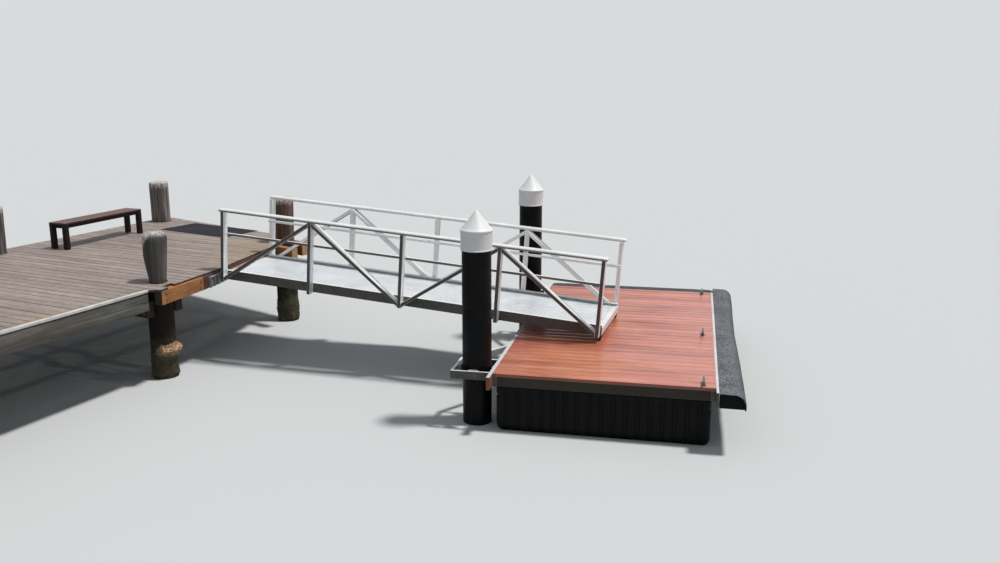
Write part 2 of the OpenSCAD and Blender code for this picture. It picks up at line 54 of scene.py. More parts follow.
# Measures of the solids in metres, and the jetty's own axes, whose +Y runs out along it
SKEW = math.radians(13)
DECK_TOP = 1.37
DECK_UNDER = 1.34
PILE_R = 0.18
EDGE_IN = 0.1803
EDGE_OUT = 0.2703
GAUGE = 3.8
BAY = 3.2
BAYS = 3
SHORE_Y = -BAYS * BAY - EDGE_OUT
HEAD_RIGHT = (-0.3, 3.2)
HEAD_LEFT = (-3.8, 3.95)
RIGHT_PILES = [(0.0, -i * BAY) for i in range(BAYS + 1)]
LEFT_PILES = [(-GAUGE, 0.4 - i * BAY) for i in range(BAYS + 1)]
ALL_PILES = RIGHT_PILES + LEFT_PILES + [HEAD_RIGHT, HEAD_LEFT]
END_SLOPE = (HEAD_LEFT[1] - HEAD_RIGHT[1]) / (HEAD_RIGHT[0] - HEAD_LEFT[0])
END_REACH = 0.38
HINGE_X = 0.408
HINGE_Y0 = 0.50
FASCIA_START = 0.45
FASCIA_LENGTH = 0.94
FASCIA_THICK = 0.115
FASCIA_TURN = math.radians(6)
BENCH_TURN = math.radians(3.5)
PONTOON_TOP = 0.72
GUIDES = ((4.706, -0.778), (4.706, 2.982))


def jetty(x, y, z=0.0):
    return Vector((x * math.cos(SKEW) + y * math.sin(SKEW), -x * math.sin(SKEW) + y * math.cos(SKEW), z))


def local(x, y):
    return (x * math.cos(SKEW) - y * math.sin(SKEW), x * math.sin(SKEW) + y * math.cos(SKEW))


def end_y(x):
    """Where the boards end at the head, which isn't square to the jetty."""
    return HEAD_RIGHT[1] + (HEAD_RIGHT[0] - x) * END_SLOPE + END_REACH


# Materials
class Paint:
    def __init__(self, name):
        self.mat = bpy.data.materials.new(name)
        self.mat.use_nodes = True
        self.tree = self.mat.node_tree
        self.tree.nodes.clear()
        out = self.new("OutputMaterial")
        self.shader = self.new("BsdfPrincipled")
        self.link(self.shader.outputs[0], out.inputs[0])

    def new(self, kind, **props):
        n = self.tree.nodes.new("ShaderNode" + kind)
        for k, v in props.items():
            setattr(n, k, v)
        return n

    def link(self, a, b):
        self.tree.links.new(a, b)

    def feed(self, sockets, values):
        """Each value goes into its socket, as a constant or through a link."""
        for sock, v in zip(sockets, values):
            if isinstance(v, (int, float)):
                sock.default_value = v
            elif isinstance(v, tuple):
                sock.default_value = (*v, 1)
            else:
                self.link(v, sock)

    def set(self, **values):
        for k, v in values.items():
            self.shader.inputs[k.replace("_", " ")].default_value = v

    def coord(self, turn=0.0, scale=(1, 1, 1)):
        c = self.new("TexCoord").outputs["Object"]
        if turn:
            r = self.new("Mapping")
            r.inputs["Rotation"].default_value = (0, 0, turn)
            self.link(c, r.inputs["Vector"])
            c = r.outputs[0]
        s = self.new("Mapping")
        s.inputs["Scale"].default_value = scale
        self.link(c, s.inputs["Vector"])
        return s.outputs[0]

    def noise(self, vec, scale, detail=4, rough=0.55, distort=0.0):
        n = self.new("TexNoise")
        self.link(vec, n.inputs["Vector"])
        n.inputs["Scale"].default_value = scale
        n.inputs["Detail"].default_value = detail
        n.inputs["Roughness"].default_value = rough
        n.inputs["Distortion"].default_value = distort
        return n.outputs[0]

    def ramp(self, fac, stops):
        r = self.new("ValToRGB")
        e = r.color_ramp.elements
        while len(e) < len(stops):
            e.new(0.5)
        for item, (pos, col) in zip(e, stops):
            item.position = pos
            item.color = (*col, 1)
        self.link(fac, r.inputs[0])
        return r.outputs[0]

    def span(self, fac, a, b, c, d):
        """fac from a to b becomes c to d."""
        r = self.new("MapRange")
        self.feed(r.inputs, (fac, a, b, c, d))
        return r.outputs[0]

    def math(self, op, a, b):
        m = self.new("Math", operation=op)
        self.feed(m.inputs, (a, b))
        return m.outputs[0]

    def blend(self, a, b, share):
        """a and b added up, b by its share and a by the rest."""
        return self.math("ADD", self.math("MULTIPLY", a, 1 - share), self.math("MULTIPLY", b, share))

    def mix(self, fac, a, b):
        m = self.new("Mix", data_type="RGBA")
        self.feed((m.inputs[0], m.inputs[6], m.inputs[7]), (fac, a, b))
        return m.outputs[2]

    def attribute(self, name):
        return self.new("Attribute", attribute_name=name).outputs["Fac"]

    def place(self, axis):
        s = self.new("SeparateXYZ")
        self.link(self.new("TexCoord").outputs["Object"], s.inputs[0])
        return s.outputs[axis]

    def finish(self, colour, rough, bump, strength, dist):
        self.link(colour, self.shader.inputs["Base Color"])
        self.link(rough, self.shader.inputs["Roughness"])
        b = self.new("Bump")
        b.inputs["Strength"].default_value = strength
        b.inputs["Distance"].default_value = dist
        self.link(bump, b.inputs["Height"])
        self.link(b.outputs[0], self.shader.inputs["Normal"])
        return self.mat


def wood(name, stops, turn, axis, tone, rough, strength, checks, coat=0.0, ends=0.0,
         end_tone=(0.018, 0.014, 0.011), patch=None, fade=None, gloss=0.5):
    """Timber with its grain along an axis. tone is how far the pieces differ, strength the bump's, and
    checks how dark the drying cracks are. patch is a cloudy second tone, fade one that grows along X."""
    p = Paint(name)
    p.set(Specular_IOR_Level=gloss)

    def along(fine, coarse):
        scale = [fine] * 3
        scale[axis] = coarse
        return p.coord(turn, scale)

    grain = p.noise(along(42.0, 1.6), 1.0, 7, 0.65, 0.4)
    stain = p.noise(along(5.0, 0.7), 1.0, 4, 0.6, 0.3)
    spots = p.noise(p.coord(), 9.0, 3, 0.6)
    fac = p.blend(grain, stain, 0.5)
    if tone:
        fac = p.math("ADD", fac, p.span(p.attribute("tone"), 0, 1, -tone, tone))
    col = p.ramp(fac, stops)
    crack = p.ramp(p.noise(along(70.0, 1.1), 1.0, 3, 0.5, 0.8),
                   [(0.0, (1, 1, 1)), (0.36, (1, 1, 1)), (0.385, (0, 0, 0)), (1.0, (0, 0, 0))])
    col = p.mix(p.math("MULTIPLY", crack, checks), col, (0.02, 0.016, 0.012))
    col = p.mix(p.span(spots, 0.35, 0.7, 0.25, 0.0), col, (0.05, 0.04, 0.032))
    if patch:
        cloud = p.noise(p.coord(turn, (1.0, 1.0, 1.0)), 0.55, 3, 0.5, 0.2)
        col = p.mix(p.span(cloud, 0.52, 0.68, 0.0, patch[1]), col, p.mix(grain, patch[0], col))
    if fade:
        tone_2, x0, x1, most = fade
        x = p.math("ADD", p.place(0), p.span(stain, 0.3, 0.7, -1.2, 1.2))
        col = p.mix(p.span(x, x0, x1, 0.0, most), col, p.mix(grain, tone_2, col))
    if ends:
        col = p.mix(p.math("MULTIPLY", p.attribute("ends"), ends), col, end_tone)
    deep = p.math("SUBTRACT", grain, p.math("MULTIPLY", crack, 0.6))
    if coat:
        p.set(Coat_Weight=coat, Coat_Roughness=0.18)
    return p.finish(col, p.span(grain, 0.3, 0.7, *rough), deep, strength, 0.003)


WEATHER = [(0.25, (0.170, 0.132, 0.118)), (0.44, (0.300, 0.245, 0.224)),
           (0.58, (0.385, 0.322, 0.300)), (0.78, (0.470, 0.405, 0.385))]
GREY_BEAM = [(0.30, (0.030, 0.030, 0.028)), (0.45, (0.098, 0.096, 0.088)),
             (0.58, (0.205, 0.200, 0.186)), (0.75, (0.340, 0.330, 0.300))]
CAPPING = [(0.25, (0.46, 0.43, 0.40)), (0.50, (0.78, 0.76, 0.73)), (0.75, (0.90, 0.89, 0.87))]
NEW_WOOD = [(0.25, (0.190, 0.062, 0.018)), (0.45, (0.400, 0.150, 0.045)),
            (0.62, (0.560, 0.245, 0.088)), (0.80, (0.700, 0.390, 0.190))]
RED_WOOD = [(0.22, (0.230, 0.036, 0.018)), (0.42, (0.430, 0.085, 0.048)),
            (0.60, (0.600, 0.150, 0.086)), (0.82, (0.740, 0.270, 0.170))]
# Near-black: the bench timber painted in shade, for the legs and rails under the seat.
SHADED_BENCH_WOOD = [(0.25, (0.005, 0.003, 0.004)), (0.50, (0.012, 0.006, 0.007)),
              (0.75, (0.032, 0.014, 0.015))]
SEAT_WOOD = [(0.25, (0.060, 0.020, 0.018)), (0.50, (0.135, 0.050, 0.046)),
             (0.75, (0.240, 0.108, 0.100))]
# Near-black timber for the beams under the deck: damp, and painted shade from the deck above.
DAMP_SHADED_BEAM = [(0.25, (0.008, 0.007, 0.006)), (0.45, (0.018, 0.016, 0.014)),
             (0.60, (0.038, 0.035, 0.030)), (0.80, (0.080, 0.074, 0.062))]
JOIST_WOOD = [(0.25, (0.010, 0.008, 0.006)), (0.50, (0.026, 0.019, 0.014)), (0.75, (0.060, 0.045, 0.033))]
RUST_WOOD = [(0.25, (0.036, 0.012, 0.008)), (0.5, (0.098, 0.036, 0.022)), (0.75, (0.20, 0.085, 0.052))]
WALER_WOOD = [(0.25, (0.110, 0.034, 0.020)), (0.5, (0.260, 0.085, 0.048)), (0.75, (0.42, 0.170, 0.095))]

deck_wood = wood("deck_wood", WEATHER, SKEW, 0, 0.05, (0.62, 0.85), 0.4, 0.2, ends=0.9,
                 patch=((0.36, 0.255, 0.125), 0.75))
beam_wood = wood("beam_wood", GREY_BEAM, SKEW, 1, 0.06, (0.7, 0.92), 0.7, 0.55, ends=0.85,
                 patch=((0.150, 0.100, 0.060), 0.6))
capping_wood = wood("capping_wood", CAPPING, SKEW, 1, 0.04, (0.6, 0.8), 0.4, 0.35, ends=0.9,
                    end_tone=(0.235, 0.190, 0.172))
cross_wood = wood("cross_wood", GREY_BEAM, SKEW, 0, 0.06, (0.7, 0.92), 0.7, 0.6)
damp_shaded_cross = wood("damp_shaded_cross", DAMP_SHADED_BEAM, SKEW, 0, 0.06, (0.7, 0.92), 0.7, 0.5)
damp_shaded_along = wood("damp_shaded_along", DAMP_SHADED_BEAM, SKEW, 1, 0.06, (0.7, 0.92), 0.7, 0.5)
new_wood_along = wood("new_wood_along", NEW_WOOD, 0.0, 1, 0.05, (0.5, 0.7), 0.35, 0.3, ends=0.96,
                      patch=((0.30, 0.145, 0.040), 0.6))
new_wood_cross = wood("new_wood_cross", NEW_WOOD, SKEW, 0, 0.05, (0.5, 0.7), 0.35, 0.3, ends=0.65,
                      end_tone=(0.56, 0.37, 0.20))
rust_wood = wood("rust_wood", RUST_WOOD, 0.0, 1, 0.0, (0.6, 0.8), 0.4, 0.4)
red_wood = wood("red_wood", RED_WOOD, 0.0, 0, 0.12, (0.30, 0.45), 0.2, 0.08, 0.3, 0.6, (0.070, 0.018, 0.012),
                ((0.72, 0.270, 0.070), 0.75), ((0.78, 0.38, 0.33), 5.4, 7.2, 0.7))
waler_wood = wood("waler_wood", WALER_WOOD, 0.0, 1, 0.0, (0.5, 0.7), 0.3, 0.3)
joist_wood = wood("joist_wood", JOIST_WOOD, 0.0, 0, 0.0, (0.7, 0.9), 0.4, 0.4)
bench_wood = wood("bench_wood", SHADED_BENCH_WOOD, SKEW - BENCH_TURN, 1, 0.08, (0.5, 0.7), 0.3, 0.2, gloss=0.15)
seat_wood = wood("seat_wood", SEAT_WOOD, SKEW - BENCH_TURN, 1, 0.08, (0.4, 0.6), 0.3, 0.2, ends=0.9,
                 end_tone=(0.014, 0.007, 0.007))
bench_end = wood("bench_end", SHADED_BENCH_WOOD, 0.0, 2, 0.05, (0.5, 0.7), 0.3, 0.2, gloss=0.15)


def pile_paint():
    """Silver-grey cracked timber: near-black below the deck, which is damp timber and painted shade under the
    deck, green near the water, pale at the crown. The pale mark holds each pile's own pallor and a painted
    highlight on the landing pile's lit side.
    """
    p = Paint("pile_timber")
    p.set(Specular_IOR_Level=0.25)
    grain = p.noise(p.coord(0.0, (34, 34, 1.2)), 1.0, 8, 0.68, 0.5)
    streak = p.noise(p.coord(0.0, (9, 9, 0.55)), 1.0, 5, 0.6, 0.4)
    fac = p.blend(grain, streak, 0.55)
    calm = p.math("MULTIPLY", p.attribute("calm"), 0.6)
    lively = p.math("MULTIPLY", fac, p.math("SUBTRACT", 1.0, calm))
    fac = p.math("ADD", lively, p.math("MULTIPLY", calm, 0.50))
    dry = p.ramp(fac, [(0.36, (0.024, 0.024, 0.023)), (0.48, (0.052, 0.053, 0.051)),
                       (0.58, (0.100, 0.100, 0.097)), (0.70, (0.300, 0.290, 0.280))])
    # The pale tone: weathering, and on the landing pile's lit side a painted highlight.
    bleached_and_lit = p.ramp(fac, [(0.37, (0.034, 0.030, 0.028)), (0.46, (0.110, 0.098, 0.090)),
                            (0.54, (0.230, 0.205, 0.190)), (0.63, (0.470, 0.440, 0.415))])
    dry = p.mix(p.attribute("pale"), dry, bleached_and_lit)
    warm = p.ramp(fac, [(0.38, (0.045, 0.022, 0.018)), (0.50, (0.130, 0.068, 0.055)),
                        (0.64, (0.290, 0.180, 0.145))])
    dry = p.mix(p.attribute("warm"), dry, warm)
    # Near-black below the deck: damp timber, and painted shade from the deck above.
    damp_and_shaded = p.ramp(fac, [(0.34, (0.004, 0.003, 0.003)), (0.50, (0.011, 0.007, 0.006)),
                       (0.66, (0.036, 0.022, 0.016))])
    slime = p.ramp(p.noise(p.coord(), 11.0, 5, 0.7),
                   [(0.30, (0.012, 0.012, 0.006)), (0.50, (0.050, 0.052, 0.022)),
                    (0.66, (0.130, 0.125, 0.055))])
    ragged = p.math("ADD", p.place(2), p.span(p.noise(p.coord(), 5.0, 3), 0, 1, -0.12, 0.12))
    col = p.mix(p.span(ragged, 1.22, 1.44, 0, 1), damp_and_shaded, dry)
    col = p.mix(p.span(ragged, 0.62, 0.42, 0, 1), col, slime)
    worn = p.ramp(p.noise(p.coord(), 24.0, 4), [(0.35, (0.26, 0.235, 0.21)), (0.6, (0.66, 0.63, 0.59))])
    col = p.mix(p.attribute("crown"), col, worn)
    return p.finish(col, p.span(grain, 0.3, 0.7, 0.75, 0.95), grain, 0.9, 0.006)


def crust_paint():
    """Shells, pale where they are thick, over dark weed."""
    p = Paint("crust")
    shell = p.noise(p.coord(), 38.0, 4, 0.6)
    bed = p.noise(p.coord(), 7.0, 3, 0.6)
    # The pale tone is shells; on the landing pile's foot it also stands for a painted patch of sunlight.
    lit = p.ramp(shell, [(0.32, (0.070, 0.040, 0.020)), (0.48, (0.330, 0.190, 0.085)),
                         (0.60, (0.660, 0.440, 0.260)), (0.74, (0.860, 0.750, 0.640))])
    weed = p.ramp(shell, [(0.34, (0.008, 0.008, 0.004)), (0.52, (0.036, 0.034, 0.015)),
                          (0.68, (0.110, 0.090, 0.045))])
    weed = p.mix(p.span(bed, 0.50, 0.62, 0.0, 0.5), weed, (0.060, 0.040, 0.024))
    col = p.mix(p.attribute("shell"), weed, lit)
    return p.finish(col, p.span(shell, 0.3, 0.7, 0.7, 0.95), shell, 0.8, 0.004)


def metal(name, light, dark, metallic, rough, scale=30.0, strength=0.08, grime=None):
    """Dull metal in two tones. The last argument is two dark tones and how much of them shows on the marked
    faces: painted shade, with stains.
    """
    p = Paint(name)
    cloud = p.noise(p.coord(), 3.5, 5, 0.6, 0.5)
    fine = p.noise(p.coord(), scale, 4, 0.6)
    col = p.ramp(p.blend(cloud, fine, 0.4), [(0.35, dark), (0.60, light)])
    p.set(Metallic=metallic)
    dull = p.span(cloud, 0.3, 0.7, *rough)
    # The marked faces get the dark tones and more roughness: painted shade where they turn from the light,
    # with stains.
    if grime:
        stain = p.ramp(p.blend(cloud, fine, 0.5), [(0.35, grime[0]), (0.62, grime[1])])
        col = p.mix(p.math("MULTIPLY", p.attribute("grime"), grime[2]), col, stain)
        dull = p.math("ADD", dull, p.math("MULTIPLY", p.attribute("grime"), 0.5))
    return p.finish(col, dull, fine, strength, 0.001)


# Painted shade with spray stains: two dark tones and their share, for the gangway's outward and downward
# faces.
SHADE_AND_SPRAY = ((0.030, 0.026, 0.020), (0.088, 0.078, 0.062), 0.92)
aluminium = metal("aluminium", (0.92, 0.92, 0.92), (0.76, 0.765, 0.77), 0.2, (0.30, 0.45), grime=SHADE_AND_SPRAY)
bright_metal = metal("bright_metal", (0.88, 0.89, 0.90), (0.76, 0.77, 0.78), 0.2, (0.3, 0.45), grime=SHADE_AND_SPRAY)
tread_metal = metal("tread_metal", (0.86, 0.88, 0.91), (0.70, 0.73, 0.78), 0.2, (0.30, 0.45))
# Darker than the tread plate: painted shade for the shaded faces of the raised ribs.
lozenge_shaded_metal = metal("lozenge_shaded_metal", (0.44, 0.47, 0.51), (0.30, 0.33, 0.37), 0.3, (0.3, 0.45))
galvanised = metal("galvanised", (0.38, 0.39, 0.40), (0.13, 0.135, 0.14), 0.4, (0.4, 0.6), 60.0, 0.2)
bolt_steel = metal("bolt_steel", (0.22, 0.21, 0.20), (0.08, 0.065, 0.055), 0.5, (0.4, 0.65), 60.0)
cleat_metal = metal("cleat_metal", (0.20, 0.20, 0.205), (0.06, 0.06, 0.062), 0.5, (0.3, 0.5))


def plain(name, light, dark, rough, scale, strength, dist=0.001, detail=4, gloss=0.5, grime=None, share=0.5):
    """Rubber, plastic, carpet or paint in two tones, where share is the fine pattern's part."""
    p = Paint(name)
    p.set(Specular_IOR_Level=gloss)
    cloud = p.noise(p.coord(), 2.6, 5, 0.6, 0.3)
    fine = p.noise(p.coord(), scale, detail, 0.6)
    col = p.ramp(p.blend(cloud, fine, share), [(0.36, dark), (0.62, light)])
    # The marked faces get a dark tone: painted shade, with some dirt.
    if grime:
        stain = p.ramp(fine, [(0.35, grime), (0.7, tuple(2.5 * c for c in grime))])
        col = p.mix(p.attribute("grime"), col, stain)
    return p.finish(col, p.span(fine, 0.3, 0.7, *rough), fine, strength, dist)


mat_rubber = plain("mat_rubber", (0.030, 0.028, 0.040), (0.013, 0.012, 0.018), (0.75, 0.92), 120.0, 0.5,
                   gloss=0.15)
sleeve = plain("sleeve", (0.0050, 0.0054, 0.0066), (0.0020, 0.0021, 0.0027), (0.36, 0.5), 40.0, 0.1,
               gloss=0.10)
cap_plastic = plain("cap_plastic", (0.88, 0.89, 0.89), (0.78, 0.80, 0.81), (0.4, 0.55), 30.0, 0.05)
rubber = plain("rubber", (0.040, 0.040, 0.041), (0.014, 0.014, 0.015), (0.7, 0.9), 70.0, 0.3)
# Near-black, darker than the black plastic itself: painted shade for the floats in the pontoon's shadow.
float_shaded_plastic = plain("float_shaded_plastic", (0.0060, 0.0062, 0.0068), (0.0020, 0.0021, 0.0024), (0.45, 0.65),
                      60.0, 0.15, gloss=0.12)
pad_plastic = plain("pad_plastic", (0.34, 0.34, 0.32), (0.20, 0.195, 0.18), (0.4, 0.55), 30.0, 0.06)
carpet = plain("carpet", (0.250, 0.260, 0.285), (0.016, 0.017, 0.022), (0.9, 1.0), 52.0, 1.0, 0.006, 8, 0.2,
               (0.006, 0.006, 0.007), 0.8)
strip_metal = plain("strip_metal", (0.74, 0.75, 0.77), (0.56, 0.57, 0.59), (0.35, 0.5), 25.0, 0.05,
                    grime=(0.030, 0.028, 0.026))
threshold = plain("threshold", (0.46, 0.30, 0.25), (0.27, 0.14, 0.11), (0.7, 0.9), 90.0, 0.5)
pile_timber = pile_paint()
crust = crust_paint()

PAINTS = {"timber_weathered": beam_wood, "timber_pile": pile_timber, "timber_new": new_wood_along,
          "mat": mat_rubber, "bench_timber": bench_wood, "galvanised": galvanised,
          "pile_sleeve": sleeve, "cap_white": cap_plastic, "aluminium_mill": aluminium,
          "tread": tread_metal, "threshold": threshold, "toe_shoe": rubber,
          "pontoon_board": red_wood, "pontoon_joist": joist_wood, "waler": waler_wood,
          "strip": strip_metal, "fender_carpet": carpet, "float": float_shaded_plastic,
          "pad": pad_plastic, "cleat": cleat_metal}
for name, obj in nodes.items():
    obj.data.materials.clear()
    obj.data.materials.append(PAINTS[slot_of[name]])


# Mesh helpers
def wave(x, y, z):
    return noise.noise(Vector((x, y, z)))


def layer(bm, name):
    return bm.verts.layers.float.get(name) or bm.verts.layers.float.new(name)


def object_of(name, bm):
    mesh = bpy.data.meshes.new(name)
    bm.to_mesh(mesh)
    bm.free()
    obj = bpy.data.objects.new(name, mesh)
    scene.collection.objects.link(obj)
    return obj


def piece(name, bm, paint, body, slot, smooth=None, stands_for=(), weighted=False):
    bm.normal_update()
    obj = object_of(name, bm)
    obj.data.materials.append(paint)
    if smooth:
        obj.data.shade_smooth()
        obj.data.set_sharp_from_angle(angle=math.radians(smooth))
    if weighted:
        obj.modifiers.new("normals", "WEIGHTED_NORMAL").keep_sharp = True
    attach(obj, body)
    if stands_for:
        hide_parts(*stands_for)
    return obj


def mark(bm, name, value):
    """A face attribute from a function of the face's middle and normal."""
    bm.normal_update()
    values = bm.faces.layers.float.new(name)
    for f in bm.faces:
        f[values] = value(f.calc_center_median(), f.normal)


def facing(direction):
    """Marks the faces square to a direction."""
    return lambda at, n: 1.0 if abs(n.dot(direction)) > 0.7 else 0.0


def ease(bm, edges, width, segs=2):
    """Rounds the given edges."""
    bmesh.ops.bevel(bm, geom=edges, offset=width, offset_type="OFFSET", segments=segs, profile=0.5,
                    affect="EDGES", clamp_overlap=True)


def block(bm, middle, size):
    """A block, of which the edges come back."""
    where = Matrix.Translation(middle) @ Matrix.Diagonal((*size, 1))
    made = bmesh.ops.create_cube(bm, size=1.0, matrix=where)
    return list(dict.fromkeys(e for v in made["verts"] for e in v.link_edges))


def circle(bm, x, y, z, r, segs):
    if r < 1e-6:
        return [bm.verts.new((x, y, z))]
    turns = [2 * math.pi * k / segs for k in range(segs)]
    return [bm.verts.new((x + r * math.cos(a), y + r * math.sin(a), z)) for a in turns]


def join(bm, rows, flip=False):
    """Faces from each ring of points to the next. An end ring gets a cap, and a single point is a tip."""
    for a, b in zip(rows, rows[1:]):
        n = max(len(a), len(b))
        for k in range(n):
            p, q = k % len(a), (k + 1) % n % len(a)
            r, s = k % len(b), (k + 1) % n % len(b)
            quad = (a[q], a[p], b[r], b[s]) if flip else (a[p], a[q], b[s], b[r])
            bm.faces.new(list(dict.fromkeys(quad)))
    for ring, under in ((rows[0], True), (rows[-1], False)):
        if len(ring) > 2:
            bm.faces.new(ring[::-1] if under != flip else ring)


def lathe(bm, x, y, profile, segs):
    join(bm, [circle(bm, x, y, z, r, segs) for r, z in profile])


def soften(node, width, segs=2, paint=None, tones=0, marks=()):
    """A CAD node's shape with eased edges, in place of the node."""
    bm = bmesh.new()
    bm.from_mesh(nodes[node].data)
    bmesh.ops.remove_doubles(bm, verts=bm.verts, dist=2e-5)
    bmesh.ops.dissolve_limit(bm, angle_limit=math.radians(0.5), verts=bm.verts, edges=bm.edges)
    edges = [e for e in bm.edges if len(e.link_faces) == 2 and e.calc_face_angle(0) > math.radians(25)]
    ease(bm, edges, width, segs)
    if tones:
        rng = random.Random(tones)
        tone = layer(bm, "tone")
        seen = set()
        for first in bm.verts:
            if first in seen:
                continue
            value = rng.random()
            stack = [first]
            seen.add(first)
            while stack:
                v = stack.pop()
                v[tone] = value
                near = {e.other_vert(v) for e in v.link_edges} - seen
                seen |= near
                stack += near
    for name, value in marks:
        mark(bm, name, value)
    slot = slot_of[node]
    piece(node + "_dressed", bm, paint or PAINTS[slot], body_of[node], slot, 40, (node,), True)


BOLT = ((16, 1.15, 1.08, 0.20, 0.10), (6, 0.82, 0.82, 0.55, 0.45), (12, 0.72, 0.50, 0.12, 0.78))


def hex_bolt(bm, at, out, size, washer=True):
    """A washer, a six-sided head and its chamfered top: sides, radii, thickness and middle of each."""
    out = Vector(out).normalized()
    side = out.orthogonal().normalized()
    base = Matrix.Translation(Vector(at)) @ Matrix((side, out.cross(side), out)).transposed().to_4x4()
    for sides, low, high, thick, middle in BOLT if washer else BOLT[1:]:
        bmesh.ops.create_cone(bm, cap_ends=True, segments=sides, radius1=size * low, radius2=size * high,
                              depth=size * thick, matrix=base @ Matrix.Translation((0, 0, size * middle)))


def clip_half(poly, limit, keep_above):
    """The part of an outline on one side of a limit of its second coordinate."""
    out = []
    for a, b in zip(poly, poly[1:] + poly[:1]):
        ina = (a[1] >= limit) == keep_above or a[1] == limit
        inb = (b[1] >= limit) == keep_above or b[1] == limit
        if ina:
            out.append(a)
        if ina != inb:
            t = (limit - a[1]) / (b[1] - a[1])
            out.append((a[0] + t * (b[0] - a[0]), a[1] + t * (b[1] - a[1])))
    return out


def cut_round(bm, holes, z0, z1):
    """The boards with an upright hole for each pile, given by its middle and its radius by angle."""
    cut = bmesh.new()
    for c, radius in holes:
        turns = [2 * math.pi * k / 48 for k in range(48)]
        join(cut, [[cut.verts.new((c.x + radius(a) * math.cos(a), c.y + radius(a) * math.sin(a), z))
                    for a in turns] for z in (z0 - 0.03, z1 + 0.03)])
    raw, cutter = object_of("boards_raw", bm), object_of("cutter", cut)
    mod = raw.modifiers.new("cut", "BOOLEAN")
    mod.object = cutter
    mod.operation = "DIFFERENCE"
    mod.solver = "EXACT"
    bpy.context.view_layer.update()
    done = raw.evaluated_get(bpy.context.evaluated_depsgraph_get()).to_mesh()
    bm = bmesh.new()
    bm.from_mesh(done)
    bpy.data.objects.remove(raw)
    bpy.data.objects.remove(cutter)
    return bm


def boards(name, outline, start, pitch, gap, z0, z1, place, along, seed, paint, body, slot, stands_for,
           edge_r, drop, holes=()):
    """Separate boards with eased edges and slightly uneven tops, cut from an outline at equal steps.
    place turns the outline's points into the world's, and along turns them back into the step's axis."""
    bm = bmesh.new()
    rng = random.Random(seed)
    top_edges, tones, tops = [], [], []
    while start + len(tops) * pitch < max(p[1] for p in outline) - gap:
        low = start + len(tops) * pitch + gap / 2
        high = start + (len(tops) + 1) * pitch - gap / 2
        strip = clip_half(clip_half(outline, low, True), high, False)
        tones.append(rng.random())
        tops.append(z1 - rng.random() * drop)
        clean = [p for k, p in enumerate(strip) if math.dist(p, strip[k - 1]) > 1e-4]
        if len(clean) < 3 or max(p[1] for p in clean) - min(p[1] for p in clean) < 0.01:
            continue
        rings = [[bm.verts.new(place(*p, z)) for p in clean] for z in (z0, tops[-1])]
        join(bm, rings)
        top_edges += [bm.edges.get((a, b)) for a, b in zip(rings[1], rings[1][1:] + rings[1][:1])]
    ease(bm, top_edges, edge_r)
    if holes:
        bm = cut_round(bm, holes, z0, z1)
    tone = layer(bm, "tone")
    for v in bm.verts:
        v[tone] = tones[min(len(tones) - 1, max(0, int((along(v.co) - start) / pitch)))]
    # The upright faces, the board ends and also the sides along the gaps, take the dark end tone: end grain,
    # and painted shade in the gaps and along the deck's edge.
    mark(bm, "ends", lambda at, n: 1.0 if abs(n.z) < 0.5 else 0.0)
    piece(name, bm, paint, body, slot, 30, stands_for)
    return tops


def screws(name, spots, body, slot):
    """Screw heads, each a low six-sided cone."""
    bm = bmesh.new()
    for at in spots:
        join(bm, [circle(bm, at.x, at.y, at.z + h, r, 6) for r, h in ((0.0045, -0.002), (0.0036, 0.0008))])
    piece(name, bm, bolt_steel, body, slot)


# Jetty deck boards
def fascia_at(along, back):
    """A point at a distance from the fascia's near end, behind its face."""
    turned = (FASCIA_LENGTH - along, back)
    return (HINGE_X - turned[0] * math.sin(FASCIA_TURN) - turned[1] * math.cos(FASCIA_TURN),
            HINGE_Y0 - turned[0] * math.cos(FASCIA_TURN) + turned[1] * math.sin(FASCIA_TURN))


def deck_outline():
    """The boards' outline in the jetty's axes, with the stretch behind the fascia that is bare of boards."""
    left_out, left_in, right = -GAUGE - EDGE_OUT, -GAUGE - EDGE_IN, EDGE_IN - 0.0003
    bare_from, bare_to, setback, meets_y = 0.14, 0.335, 0.04, 0.94
    a, b = jetty(left_out, end_y(left_out)), jetty(0, end_y(0))
    corner_y = a.y + (HINGE_X - a.x) * (b.y - a.y) / (b.x - a.x)
    cut = (EDGE_OUT - EDGE_IN) * math.sqrt(1 + END_SLOPE ** 2)
    near, far = local(*fascia_at(bare_from, 0)), local(*fascia_at(bare_to, setback))
    near_back = local(*fascia_at(bare_from, FASCIA_THICK))
    far_back = local(*fascia_at(bare_to, FASCIA_THICK))
    return [(left_in, SHORE_Y), (right, SHORE_Y), (right, -FASCIA_START), (EDGE_OUT, -FASCIA_START),
            local(*fascia_at(0, 0)), near, (near_back[0], near[1]), (far_back[0], far[1]), far,
            local(HINGE_X, meets_y), local(HINGE_X, corner_y), (left_out, end_y(left_out)),
            (left_out, end_y(left_in) - cut), (left_in, end_y(left_in) - cut)]


LANDING_SHOULDER = math.radians(200)
LANDING_LEAN = math.radians(35)
# The direction that the landing pile's lit side faces, where a painted highlight goes.
LANDING_SUNLIT_SIDE = math.radians(12)
PILE_HEAD = 0.76
LANDING_HEAD = 0.70


def worn_landing(a, z, head):
    """How far the landing pile is worn in at an angle and a height above the deck."""
    if z < -0.05:
        return 0.0
    t = z / head
    toward = max(0.0, math.cos(a - LANDING_SHOULDER))
    beyond = max(0.0, math.cos(a - LANDING_LEAN))
    waist = max(0.0, 1 - t / 0.55)
    crown = max(0.0, (t - 0.78) / 0.22)
    return 0.056 * toward * waist ** 1.3 + 0.058 * beyond * (1 - t) + 0.007 + 0.034 * crown ** 3


def worn_head(a, z, head):
    if z < 0:
        return 0.0
    t = z / head
    return 0.016 * (1 - t) + 0.012 * max(0.0, (t - 0.85) / 0.15) ** 2


